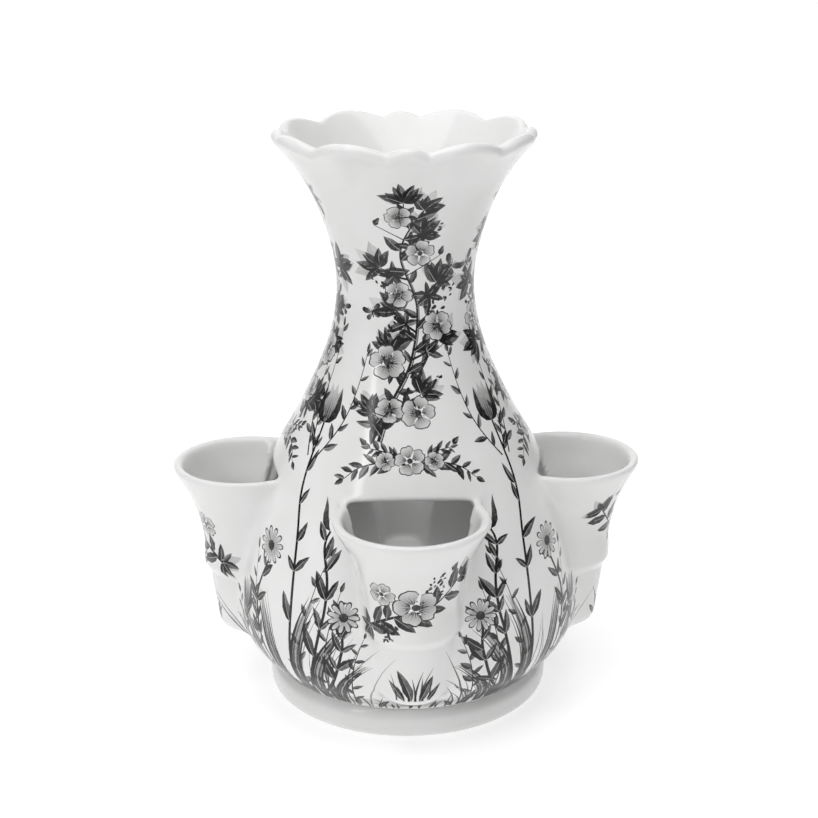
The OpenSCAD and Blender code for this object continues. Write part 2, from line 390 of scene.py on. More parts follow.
def flat_mesh(strokes, mouth, columns_low, columns_up, step):
    """Triangulates the unrolled wall: grid, joint lines, mouths, and painted strokes let in as faces."""
    verts, edges, tags = [], [], []

    def poly(points, closed, tag):
        base = len(verts)
        verts.extend((float(a), float(z)) for a, z in points)
        n = len(points)
        for i in range(n if closed else n - 1):
            edges.append((base + i, base + (i + 1) % n))
            tags.append(tag)
        return base

    def span(a, b, h):
        n = max(1, round((b - a) / h))
        return [a + (b - a) * i / n for i in range(n)]

    z_low = (span(FOOT_Z, 29.5, step) + span(29.5, 35, step * 0.22) + span(35, 63, step) + span(63, 75, step * 0.55)
             + span(75, 140, step))
    z_up = span(140, RIM_Z, step)
    lines_low = (np.arange(columns_low) + 0.5) / columns_low * 2 * PI + T0
    lines_up = (np.arange(columns_up) + 0.5) / columns_up * 2 * PI + T0

    # edge of the sheet: both sides carry the same heights, and so does the line half way round
    side_z = sorted(set([SHOULDER_Z, RIM_Z] + [round(z, 4) for z in z_low + z_up]))
    poly([(T0, z) for z in side_z], False, "side")
    poly([(T1, z) for z in side_z], False, "side")
    ring = np.linspace(T0, T1, 361)
    poly([(a, FOOT_Z) for a in ring], False, "foot")
    poly([(a, SHOULDER_Z) for a in ring], False, "shoulder")
    poly([(a, RIM_Z) for a in ring], False, "rim")
    mouth_at = {}
    n = len(SHIELD)
    for name, o in PLACES:
        mouth_at[name] = poly([(a + o, z) for a, z in mouth], True, "mouth_" + name)
        upper = [SHIELD[i] for i in range(SHIELD_R, SHIELD_L + 1)]
        lower = [SHIELD[i % n] for i in range(SHIELD_L, n + SHIELD_R + 1)]
        poly([(a + o, z) for a, z in upper], False, "cup_" + name)
        poly([(a + o, z) for a, z in lower], False, "boot_" + name)
        a = SHIELD[SHIELD_R][0]
        poly([(x + o, COLLAR_Z) for x in np.linspace(-a, a, 81)], False, "collar_" + name)
    poly([(T0 + PI, z) for z in side_z], False, "middle")

    fixed = flat(np.array(verts))
    tree = kdtree.KDTree(len(fixed))
    for i, (a, z) in enumerate(fixed):
        tree.insert((a, z, 0), i)
    tree.balance()
    gap = min(step, R0 * 2 * PI / columns_low) * 0.45
    ga = np.array([(a, z) for z in z_low[1:] for a in lines_low] + [(a, z) for z in z_up for a in lines_up])
    gf = flat(ga)
    loop = flat(mouth)
    keep = np.ones(len(ga), bool)
    for _, o in PLACES:
        f = (ga[:, 0] - o + PI) % (2 * PI) - PI
        near = np.abs(f) < 44 * DEG
        hit = np.zeros(len(ga), bool)
        hit[near] = inside_polygon(f[near] * R0, gf[near, 1], loop)
        keep &= ~hit
    for g, q in zip(ga[keep], gf[keep]):
        if tree.find((q[0], q[1], 0))[2] > gap:
            verts.append((float(g[0]), float(g[1])))

    for stroke in strokes:
        poly(stroke["points"], True, "ink")
    ov, oe, of, from_v, from_e, from_f = delaunay_2d_cdt([Vector(p) for p in flat(np.array(verts))], edges, [], 0, 1e-5, True)
    ov = np.array([(v[0], v[1]) for v in ov])
    uv = np.stack([ov[:, 0] / R0, unstretch(ov[:, 1])], 1)
    tri = np.array([f for f in of if len(f) == 3], int)
    c = ov[tri].mean(1)
    keep = (np.abs(c[:, 0] - (T0 + PI) * R0) < PI * R0) & (c[:, 1] > stretch(FOOT_Z)) & (c[:, 1] < stretch(RIM_Z))
    node = np.where(c[:, 1] > stretch(SHOULDER_Z), 1, 0)
    shield = flat(SHIELD)
    for k, (_, o) in enumerate(PLACES):
        f = (c[:, 0] / R0 - o + PI) % (2 * PI) - PI
        near = np.abs(f) < 44 * DEG
        hit = np.zeros(len(c), bool)
        hit[near] = inside_polygon(f[near] * R0, c[near, 1], loop)
        keep &= ~hit
        hit = np.zeros(len(c), bool)
        hit[near] = inside_polygon(f[near] * R0, c[near, 1], shield)
        node[hit & (c[:, 1] > stretch(COLLAR_Z))] = 2 + k
        node[hit & (c[:, 1] <= stretch(COLLAR_Z))] = 6 + k
    place = {}
    for i, ids in enumerate(from_v):
        for j in ids:
            place[j] = i
    mouths = {name: [place[b + i] for i in range(len(mouth))] for name, b in mouth_at.items()}
    arcs = {}
    for (a, b), ids in zip(oe, from_e):
        for j in ids:
            if j < len(tags) and tags[j] not in ("side", "middle", "ink"):
                arcs.setdefault(tags[j], set()).update((a, b))
    # darkness that the strokes leave at each corner of a face, in the order they were painted
    ink = np.zeros((len(tri), 3))
    order = np.argsort(c[:, 0])
    xs = c[order, 0]
    for stroke in strokes:
        line = flat(np.array(stroke["points"]))
        (x0, y0), (x1, y1) = line.min(0), line.max(0)
        ids = order[np.searchsorted(xs, x0):np.searchsorted(xs, x1)]
        ids = ids[(c[ids, 1] > y0) & (c[ids, 1] < y1)]
        ids = ids[inside_polygon(c[ids, 0], c[ids, 1], line)]
        if len(ids):
            p0, p1 = stroke["run"]
            ax = p1 - p0
            t = np.clip((ov[tri[ids]] - p0) @ ax / max(ax @ ax, 1e-9), 0, 1)
            tone = stroke["tone"][0] + (stroke["tone"][1] - stroke["tone"][0]) * t
            ink[ids] = tone if stroke["mode"] == "set" else 1 - (1 - ink[ids]) * (1 - tone)
    return {"uv": uv, "tri": tri[keep], "node": node[keep], "ink": ink[keep], "mouths": mouths, "arcs": arcs}


def along(uv, ids, tag):
    """Sorts the points of a joint line along it, with a place for each."""
    ids = np.array(sorted(ids))
    p = uv[ids]
    if tag in ("foot", "shoulder", "rim"):
        key = p[:, 0]
    else:
        o = dict(PLACES)[tag.split("_")[1]]
        f = (p[:, 0] - o + PI) % (2 * PI) - PI
        if tag.startswith("collar"):
            key = f
        else:
            n = len(SHIELD)
            order = ([i for i in range(SHIELD_R, SHIELD_L + 1)] if tag.startswith("cup")
                     else [i % n for i in range(SHIELD_L, n + SHIELD_R + 1)])
            line = flat(SHIELD[order])
            q = flat(np.stack([f, p[:, 1]], 1))
            best = np.full(len(q), 1e9)
            key = np.zeros(len(q))
            for i in range(len(line) - 1):
                d = line[i + 1] - line[i]
                t = np.clip(((q - line[i]) @ d) / (d @ d), 0, 1)
                far = np.linalg.norm(q - line[i] - t[:, None] * d, axis=1)
                better = far < best
                best = np.where(better, far, best)
                key = np.where(better, i + t, key)
    order = np.argsort(key, kind="stable")
    return ids[order], key[order]


def zip_strip(a, ka, b, kb):
    """Triangles between two sorted lines of points."""
    out, i, j = [], 0, 0
    while i < len(a) - 1 or j < len(b) - 1:
        if j == len(b) - 1 or (i < len(a) - 1 and ka[i + 1] <= kb[j + 1]):
            out.append((a[i], a[i + 1], b[j]))
            i += 1
        else:
            out.append((a[i], b[j + 1], b[j]))
            j += 1
    return out


# ---------------------------------------------------------------- materials
def principled(name):
    mat = bpy.data.materials.new(name)
    mat.use_nodes = True
    nt = mat.node_tree
    return mat, nt.nodes, nt.links, nt.nodes["Principled BSDF"]


def node(nodes, kind, **values):
    n = nodes.new(kind)
    for k, v in values.items():
        setattr(n, k, v)
    return n


def noise_at(nodes, links, scale, detail, rough=0.5):
    """Noise in the object's own millimetres."""
    co = node(nodes, "ShaderNodeTexCoord")
    n = node(nodes, "ShaderNodeTexNoise", noise_dimensions="3D")
    n.inputs["Scale"].default_value = scale
    n.inputs["Detail"].default_value = detail
    n.inputs["Roughness"].default_value = rough
    links.new(co.outputs["Object"], n.inputs["Vector"])
    return n.outputs["Fac"]


def spread(nodes, links, value, lo, hi, a, b):
    m = node(nodes, "ShaderNodeMapRange")
    m.inputs["From Min"].default_value = lo
    m.inputs["From Max"].default_value = hi
    m.inputs["To Min"].default_value = a
    m.inputs["To Max"].default_value = b
    links.new(value, m.inputs["Value"])
    return m.outputs["Result"]


def maths(nodes, links, op, a, b=None, clamp=False):
    m = node(nodes, "ShaderNodeMath", operation=op, use_clamp=clamp)
    for i, v in enumerate((a, b)):
        if v is None:
            continue
        if isinstance(v, (int, float)):
            m.inputs[i].default_value = v
        else:
            links.new(v, m.inputs[i])
    return m.outputs[0]


def glaze_material(name, painted):
    """Glossy white tin-type glaze, with the brushwork under it where the face carries ink."""
    mat, nodes, links, bsdf = principled(name)
    bsdf.inputs["IOR"].default_value = 1.5
    bsdf.inputs["Specular IOR Level"].default_value = 0.38
    # glaze pools a little thicker and thinner over the clay
    pool = noise_at(nodes, links, 26, 3)
    white = node(nodes, "ShaderNodeMix", data_type="RGBA")
    white.inputs["A"].default_value = (0.755, 0.755, 0.748, 1)
    white.inputs["B"].default_value = (0.795, 0.795, 0.792, 1)
    links.new(spread(nodes, links, pool, 0.35, 0.65, 0.0, 1.0), white.inputs["Factor"])
    colour = white.outputs["Result"]
    wave = noise_at(nodes, links, 38, 2)
    grain = noise_at(nodes, links, 1500, 2)
    rough = spread(nodes, links, noise_at(nodes, links, 90, 4), 0.3, 0.7, 0.085, 0.15)
    if painted:
        ink = node(nodes, "ShaderNodeAttribute", attribute_type="GEOMETRY", attribute_name="ink").outputs["Fac"]
        # the brush leaves wash of uneven strength
        wash = maths(nodes, links, "MULTIPLY",
                     spread(nodes, links, noise_at(nodes, links, 420, 4, 0.65), 0.3, 0.7, 0.78, 1.12),
                     spread(nodes, links, noise_at(nodes, links, 1700, 3, 0.6), 0.3, 0.7, 0.9, 1.08))
        ink = maths(nodes, links, "MULTIPLY", ink, wash, True)
        clear = maths(nodes, links, "POWER", maths(nodes, links, "SUBTRACT", 1.0, ink), 2.9)
        paint = node(nodes, "ShaderNodeMix", data_type="RGBA")
        paint.inputs["A"].default_value = (0.006, 0.006, 0.0066, 1)
        links.new(clear, paint.inputs["Factor"])
        links.new(colour, paint.inputs["B"])
        colour = paint.outputs["Result"]
        rough = maths(nodes, links, "ADD", rough, maths(nodes, links, "MULTIPLY", ink, 0.05))
    links.new(colour, bsdf.inputs["Base Color"])
    links.new(rough, bsdf.inputs["Roughness"])
    b1 = node(nodes, "ShaderNodeBump")
    b1.inputs["Strength"].default_value = 0.22
    b1.inputs["Distance"].default_value = 0.0011
    links.new(wave, b1.inputs["Height"])
    b2 = node(nodes, "ShaderNodeBump")
    b2.inputs["Strength"].default_value = 0.12
    b2.inputs["Distance"].default_value = 0.00006
    links.new(grain, b2.inputs["Height"])
    links.new(b1.outputs["Normal"], b2.inputs["Normal"])
    links.new(b2.outputs["Normal"], bsdf.inputs["Normal"])
    return mat


PAINTED = glaze_material("white_glaze_painted", True)
GLAZE = glaze_material("white_glaze_plain", False)


# ------------------------------------------------------------------- pieces
def bake_layout(me, co, pp, kind, o):
    """UV map named OFBake: outer skin large, inner skin and hidden faces small."""
    counts = np.empty(len(me.polygons), np.int32)
    me.polygons.foreach_get("loop_total", counts)
    loops = np.empty(len(me.loops), np.int32)
    me.loops.foreach_get("vertex_index", loops)
    owner = np.repeat(np.arange(len(me.polygons)), counts)
    p = co[loops]
    cen = np.zeros((len(me.polygons), 3))
    np.add.at(cen, owner, p)
    cen /= counts[:, None]
    phi, cphi = np.arctan2(p[:, 0], -p[:, 1]), np.arctan2(cen[:, 0], -cen[:, 1])
    phi = np.where(np.hypot(p[:, 0], p[:, 1]) < 1e-6, cphi[owner], phi)
    turn, ct = to_turn(phi, p[:, 2]), to_turn(cphi, cen[:, 2])
    turn = turn + 2 * PI * np.round((ct[owner] - turn) / (2 * PI))
    z, part = p[:, 2], pp[owner]
    r = np.hypot(p[:, 0], p[:, 1])
    z0, z1 = co[:, 2].min(), co[:, 2].max()
    h = (z - z0) / (z1 - z0)
    if kind == "pot":
        k = np.floor((ct[owner] - T0) / PI)
        second = k % 2 > 0
        u = (turn - T0) / PI - k
        v = np.where(second, 0.655, 0.315) + 0.33 * h
        ui, vi = ((turn - T0) / PI - 2 * np.floor((ct[owner] - T0) / (2 * PI))) / 2, 0.03 + 0.26 * h
    else:
        f = turn - o
        f = f - 2 * PI * np.round((ct[owner] - o) / (2 * PI))
        g = 0.62 if kind == "cup" else 1.1
        u, v = 0.5 + f * g, 0.32 + 0.66 * h
        ui, vi = 0.5 + f * g, 0.05 + 0.24 * h
    u = np.where(part == 0, u, ui)
    v = np.where(part == 0, v, vi)
    small = part >= 2
    u = np.where(small, 0.2 + 0.3 * (phi + PI) / (2 * PI), u)
    v = np.where(small, 0.004 + 0.02 * np.clip((r + z) / 400, 0, 1), v)
    lay = me.uv_layers.new(name="OFBake")
    lay.data.foreach_set("uv", np.stack([0.01 + 0.98 * u, v], 1).ravel())


def make_piece(name, verts, faces, part, ink, mat, normal_fn, merge=True, layout=None):
    """Closed mesh piece. part: 0 outer skin, 1 inner skin, 2 mouth edge, 3 joint face."""
    bm = bmesh.new()
    bv = [bm.verts.new(v) for v in verts]
    lay_part = bm.faces.layers.int.new("part")
    lay_ink = bm.loops.layers.float.new("ink")
    for f, p, i in zip(faces, part, ink):
        if len({*f}) < 3:
            continue
        try:
            bf = bm.faces.new([bv[j] for j in f])
        except ValueError:
            continue
        bf[lay_part] = int(p)
        bf.smooth = True
        if i is not None:
            for loop, d in zip(bf.loops, i):
                loop[lay_ink] = d
    if merge:
        bmesh.ops.remove_doubles(bm, verts=bm.verts, dist=0.002)
        # a sliver that closes up can leave a flap or a small hole beside it
        for _ in range(4):
            flaps = [f for f in bm.faces if any(len(e.link_faces) > 2 for e in f.edges) and any(len(e.link_faces) == 1 for e in f.edges)]
            if flaps:
                bmesh.ops.delete(bm, geom=flaps, context="FACES")
            holes = [e for e in bm.edges if len(e.link_faces) == 1]
            if holes:
                for f in bmesh.ops.holes_fill(bm, edges=holes, sides=8)["faces"]:
                    f.smooth = True
            elif not flaps:
                break
    bmesh.ops.delete(bm, geom=[v for v in bm.verts if not v.link_faces], context="VERTS")
    bmesh.ops.recalc_face_normals(bm, faces=bm.faces)
    open_edges = sum(1 for e in bm.edges if len(e.link_faces) != 2)
    if bm.calc_volume(signed=True) < 0:
        bmesh.ops.reverse_faces(bm, faces=bm.faces)
    me = bpy.data.meshes.new(name)
    bm.to_mesh(me)
    bm.free()
    n = len(me.vertices)
    co = np.empty(n * 3)
    me.vertices.foreach_get("co", co)
    co = co.reshape(-1, 3)
    pp = np.empty(len(me.polygons), np.int32)
    me.attributes["part"].data.foreach_get("value", pp)
    if layout:
        bake_layout(me, co, pp, *layout)
    if normal_fn is not None:
        vn = normal_fn(co)
        loops = np.empty(len(me.loops), np.int32)
        me.loops.foreach_get("vertex_index", loops)
        counts = np.empty(len(me.polygons), np.int32)
        me.polygons.foreach_get("loop_total", counts)
        pn = np.empty(len(me.polygons) * 3)
        me.polygons.foreach_get("normal", pn)
        pn = pn.reshape(-1, 3)
        owner = np.repeat(np.arange(len(me.polygons)), counts)
        # joint faces stay flat
        ln = np.where((pp[owner] == 3)[:, None], pn[owner], vn[loops])
        me.normals_split_custom_set([tuple(v) for v in ln.astype(float)])
    me.transform(Matrix.Scale(MM, 4))
    me.materials.append(mat)
    ob = bpy.data.objects.new(name, me)
    bpy.context.scene.collection.objects.link(ob)
    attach(ob, "root")
    print(name, len(me.vertices), "verts", len(me.polygons), "faces, open edges", open_edges)
    return ob


def turned(p, a):
    c, s = math.cos(a), math.sin(a)
    q = p.copy()
    q[..., 0] = p[..., 0] * c - p[..., 1] * s
    q[..., 1] = p[..., 0] * s + p[..., 1] * c
    return q


def ease_edges(p, mesh):
    """Evens out the points along the steep sides of the windows into the belly."""
    t = mesh["tri"]
    e = np.unique(np.sort(np.concatenate([t[:, :2], t[:, 1:], t[:, ::2]]), axis=1), axis=0)
    move = np.zeros(len(p), bool)
    long = np.linalg.norm(p[e[:, 0]] - p[e[:, 1]], axis=1) > 4.2
    move[e[long].ravel()] = True
    near = move[e].any(axis=1)
    move[e[near].ravel()] = True
    for ids in mesh["mouths"].values():
        move[np.array(ids)] = False
    turn, z = mesh["uv"].T
    move &= (z > 36) & (z < 136) & (np.abs(turn - T0) > 0.05) & (np.abs(turn - T1) > 0.05)
    for _ in range(7):
        total, count = np.zeros_like(p), np.zeros(len(p))
        for a, b in ((0, 1), (1, 0)):
            np.add.at(total, e[:, a], p[e[:, b]])
            np.add.at(count, e[:, a], 1)
        p[move] += 0.5 * (total[move] / count[move][:, None] - p[move])


def close_gaps(faces, part, ink):
    """Adds the face that is missing where three open edges make a loop."""
    seen = {}
    for f in faces:
        for a, b in zip(f, f[1:] + f[:1]):
            key = (a, b) if a < b else (b, a)
            seen[key] = seen.get(key, 0) + 1
    near = {}
    for (a, b), n in seen.items():
        if n == 1:
            near.setdefault(a, set()).add(b)
            near.setdefault(b, set()).add(a)
    for a in near:
        for b in near[a]:
            for c in near[a] & near[b]:
                if a < b < c:
                    faces.append((a, b, c))
                    part.append(0)
                    ink.append((0.0, 0.0, 0.0))


def build_walls(strokes):
    outer = flat_mesh(strokes, MOUTH_OUT, 384, 190, 1.9)
    inner = flat_mesh([], MOUTH_IN, 320, 150, 2.2)
    po = outer_skin(to_angle(outer["uv"][:, 0], outer["uv"][:, 1]), outer["uv"][:, 1])
    pi_ = inner_skin(to_angle(inner["uv"][:, 0], inner["uv"][:, 1]), inner["uv"][:, 1])
    for name, o in PLACES:
        pi_[np.array(inner["mouths"][name])] = turned(MOUTH, o)[:, -1]
    ease_edges(pi_, inner)
    n_o = len(po)
    total = n_o + len(pi_)
    faces = {k: [] for k in range(10)}
    part = {k: [] for k in range(10)}
    ink = {k: [] for k in range(10)}
    for m, off, p in ((outer, 0, 0), (inner, n_o, 1)):
        for t, k, i in zip(m["tri"] + off, m["node"], m["ink"]):
            faces[k].append(tuple(t))
            part[k].append(p)
            ink[k].append(tuple(i))
    extra = []
    for k, (name, o) in enumerate(PLACES):
        a = np.array(outer["mouths"][name])
        b = np.array(inner["mouths"][name])
        rows = turned(MOUTH, o)
        po[a], pi_[b] = rows[:, 0], rows[:, -1]
        n, cols = rows.shape[:2]
        ids = np.empty((n, cols), int)
        ids[:, 0], ids[:, -1] = a, b + n_o
        ids[:, 1:-1] = total + np.arange(n * (cols - 2)).reshape(n, cols - 2)
        extra.append(rows[:, 1:-1].reshape(-1, 3))
        total += n * (cols - 2)
        for i in range(n):
            j = (i + 1) % n
            for c in range(cols - 1):
                faces[2 + k].append((ids[i, c], ids[j, c], ids[j, c + 1], ids[i, c + 1]))
                part[2 + k].append(2)
                ink[2 + k].append(None)
    joins = {"foot": (0,), "shoulder": (0, 1), "rim": (1,)}
    for k, (name, _) in enumerate(PLACES):
        joins["cup_" + name] = (0, 2 + k)
        joins["boot_" + name] = (0, 6 + k)
        joins["collar_" + name] = (2 + k, 6 + k)
    for tag, pieces in joins.items():
        a, ka = along(outer["uv"], outer["arcs"][tag], tag)
        b, kb = along(inner["uv"], inner["arcs"][tag], tag)
        strip = zip_strip(list(a), ka, list(b + n_o), kb)
        for k in pieces:
            faces[k].extend(strip)
            part[k].extend([3] * len(strip))
            ink[k].extend([None] * len(strip))
    verts = np.concatenate([po, pi_] + extra)
    names = ["belly", "neck"] + ["pocket_%s_cup" % n for n, _ in PLACES] + ["pocket_%s_boot" % n for n, _ in PLACES]

    def normals(co):
        return gradient(f_clay, co)

    for k, name in enumerate(names):
        close_gaps(faces[k], part[k], ink[k])
        used = np.unique(np.array([i for f in faces[k] for i in f]))
        new = np.full(total, -1)
        new[used] = np.arange(len(used))
        layout = ("pot", 0.0) if k < 2 else ("cup" if k < 6 else "boot", PLACES[(k - 2) % 4][1])
        ob = make_piece(name + "_glazed", [tuple(v) for v in verts[used]],
                        [tuple(int(new[i]) for i in f) for f in faces[k]], part[k], ink[k], PAINTED, normals, True, layout)
        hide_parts(name)


def rim_wave(a):
    u = (np.degrees(a) % 90 + 90) % 90
    big, small = 4.2, 2.8
    return np.where(u < 9, small * np.cos(np.radians(u * 10)),
                    np.where(u < 45, big * np.sin(np.radians((u - 9) * 5)),
                             np.where(u < 81, big * np.sin(np.radians((u - 45) * 5)),
                                      small * np.cos(np.radians((90 - u) * 10)))))


def soft_wave(a):
    w = np.zeros_like(a)
    total = 0
    for d in np.linspace(-2.4, 2.4, 9):
        g = math.exp(-(d / 1.6) ** 2)
        w += g * rim_wave(a + d * DEG)
        total += g
    return w / total


def build_rim():
    n, up, arc = 480, 14, 15
    a = np.arange(n) / n * 2 * PI
    top = 300 - 4.2 * 0.55 + soft_wave(a)
    rad = 3.15

    def section(zc):
        """Section of the lip, from the joint up the outside, over the roll and down the inside."""
        r, d = BODY.both(zc)
        ln = np.sqrt(1 + d * d)
        nu = np.stack([1 / ln, -d / ln], -1)
        ta = np.stack([d / ln, 1 / ln], -1)
        cen = np.stack([r, zc], -1) - rad * nu + 0.35 * nu
        pts = []
        for i in range(up):
            f = i / up
            z = RIM_Z + (zc - RIM_Z) * f
            swell = 0.35 * smoothstep(0.55, 1.0, np.float64(f))
            pts.append(np.stack([BODY(z) + swell * nu[:, 0], z + swell * nu[:, 1]], -1))
        for i in range(arc + 1):
            b = PI * i / arc
            pts.append(cen + rad * (nu * math.cos(b) + ta * math.sin(b)))
        last = pts[-1]
        foot = np.stack([np.full_like(zc, body_in(np.array(RIM_Z))), np.full_like(zc, RIM_Z)], -1)
        for i in range(1, up + 1):
            f = i / up
            z = last[:, 1] + (RIM_Z - last[:, 1]) * f
            shift = (last[:, 0] - body_in(last[:, 1])) * (1 - smoothstep(0, 0.8, np.float64(f)))
            pts.append(np.stack([body_in(z) + shift, z], -1))
        pts[-1] = foot
        return np.stack(pts, 1)

    sec = section(top - rad * 0.9)
    m = sec.shape[1]
    verts = np.stack([sec[..., 0] * np.sin(a)[:, None], -sec[..., 0] * np.cos(a)[:, None], sec[..., 1]], -1)
    # normals from the grid itself
    du = np.roll(verts, -1, 0) - np.roll(verts, 1, 0)
    dv = np.empty_like(verts)
    dv[:, 1:-1] = verts[:, 2:] - verts[:, :-2]
    dv[:, 0] = verts[:, 1] - verts[:, 0]
    dv[:, -1] = verts[:, -1] - verts[:, -2]
    nn = np.cross(du, dv)
    nn /= np.linalg.norm(nn, axis=2, keepdims=True)
    flatv = verts.reshape(-1, 3)
    nn[:, 0] = gradient(f_clay, verts[:, 0])
    nn[:, -1] = gradient(f_clay, verts[:, -1])
    faces, part = [], []
    for i in range(n):
        j = (i + 1) % n
        for c in range(m - 1):
            faces.append((i * m + c, j * m + c, j * m + c + 1, i * m + c + 1))
            part.append(0)
        faces.append((i * m + m - 1, j * m + m - 1, j * m, i * m))
        part.append(3)
    nf = nn.reshape(-1, 3)
    tree = kdtree.KDTree(len(flatv))
    for i, v in enumerate(flatv):
        tree.insert(v, i)
    tree.balance()

    def normals(co):
        return np.array([nf[tree.find(c)[1]] for c in co])

    ob = make_piece("rim_glazed", [tuple(v) for v in flatv], faces, part, [None] * len(faces), GLAZE, normals, False)
    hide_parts("rim")


def revolve_piece(name, node_name, profile, mat, n=320, closed=True):
    """Closed turned piece from a profile of (radius, height) points; a radius of 0 is on the axis."""
    verts, faces, rows = [], [], []
    for r, z in profile:
        if r < 1e-6:
            rows.append([len(verts)] * n)
            verts.append((0, 0, z))
        else:
            rows.append(list(range(len(verts), len(verts) + n)))
            verts.extend((r * math.sin(2 * PI * i / n), -r * math.cos(2 * PI * i / n), z) for i in range(n))
    pairs = list(zip(rows, rows[1:])) + ([(rows[-1], rows[0])] if closed else [])
    for a, b in pairs:
        for i in range(n):
            j = (i + 1) % n
            f = []
            for v in (a[i], a[j], b[j], b[i]):
                if v not in f:
                    f.append(v)
            if len(f) >= 3:
                faces.append(tuple(f))
    ob = make_piece(name, verts, faces, [0] * len(faces), [None] * len(faces), mat, None)
    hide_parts(node_name)
    return ob


def arc_points(points, steps=5):
    """Rounds a profile through its points."""
    out = []
    n = len(points)
    p = [np.array(q, float) for q in points]
    for i in range(n - 1):
        p0, p1, p2, p3 = p[max(i - 1, 0)], p[i], p[i + 1], p[min(i + 2, n - 1)]
        for s in range(steps):
            t = s / steps
            out.append(tuple(0.5 * ((2 * p1) + (p2 - p0) * t + (2 * p0 - 5 * p1 + 4 * p2 - p3) * t * t
                                    + (3 * p1 - p0 - 3 * p2 + p3) * t ** 3)))
    out.append(tuple(p[-1]))
    return out


def build_foot():
    outer = arc_points([(70.2, 0), (72.9, 0.7), (74.7, 2.2), (75.6, 4.4), (75.8, 6.6), (75.8, 9.6), (75.4, 12),
                        (74.4, 14), (73, 15.3), (71.4, 16)], 5)
    inner = arc_points([(58.6, 8.6), (57.4, 7.6), (57, 6), (57, 3), (57.5, 1), (59.5, 0)], 4)
    profile = outer + [(68, 16), (65, 16), (65, 9), (60, 9)] + inner
    revolve_piece("foot_ring_glazed", "foot_ring", profile, GLAZE)
    revolve_piece("base_floor_glazed", "base_floor",
                  [(0, 16), (30, 16), (65, 16), (65, 9), (59, 9), (30, 9.3), (0, 9.5)], GLAZE, closed=False)


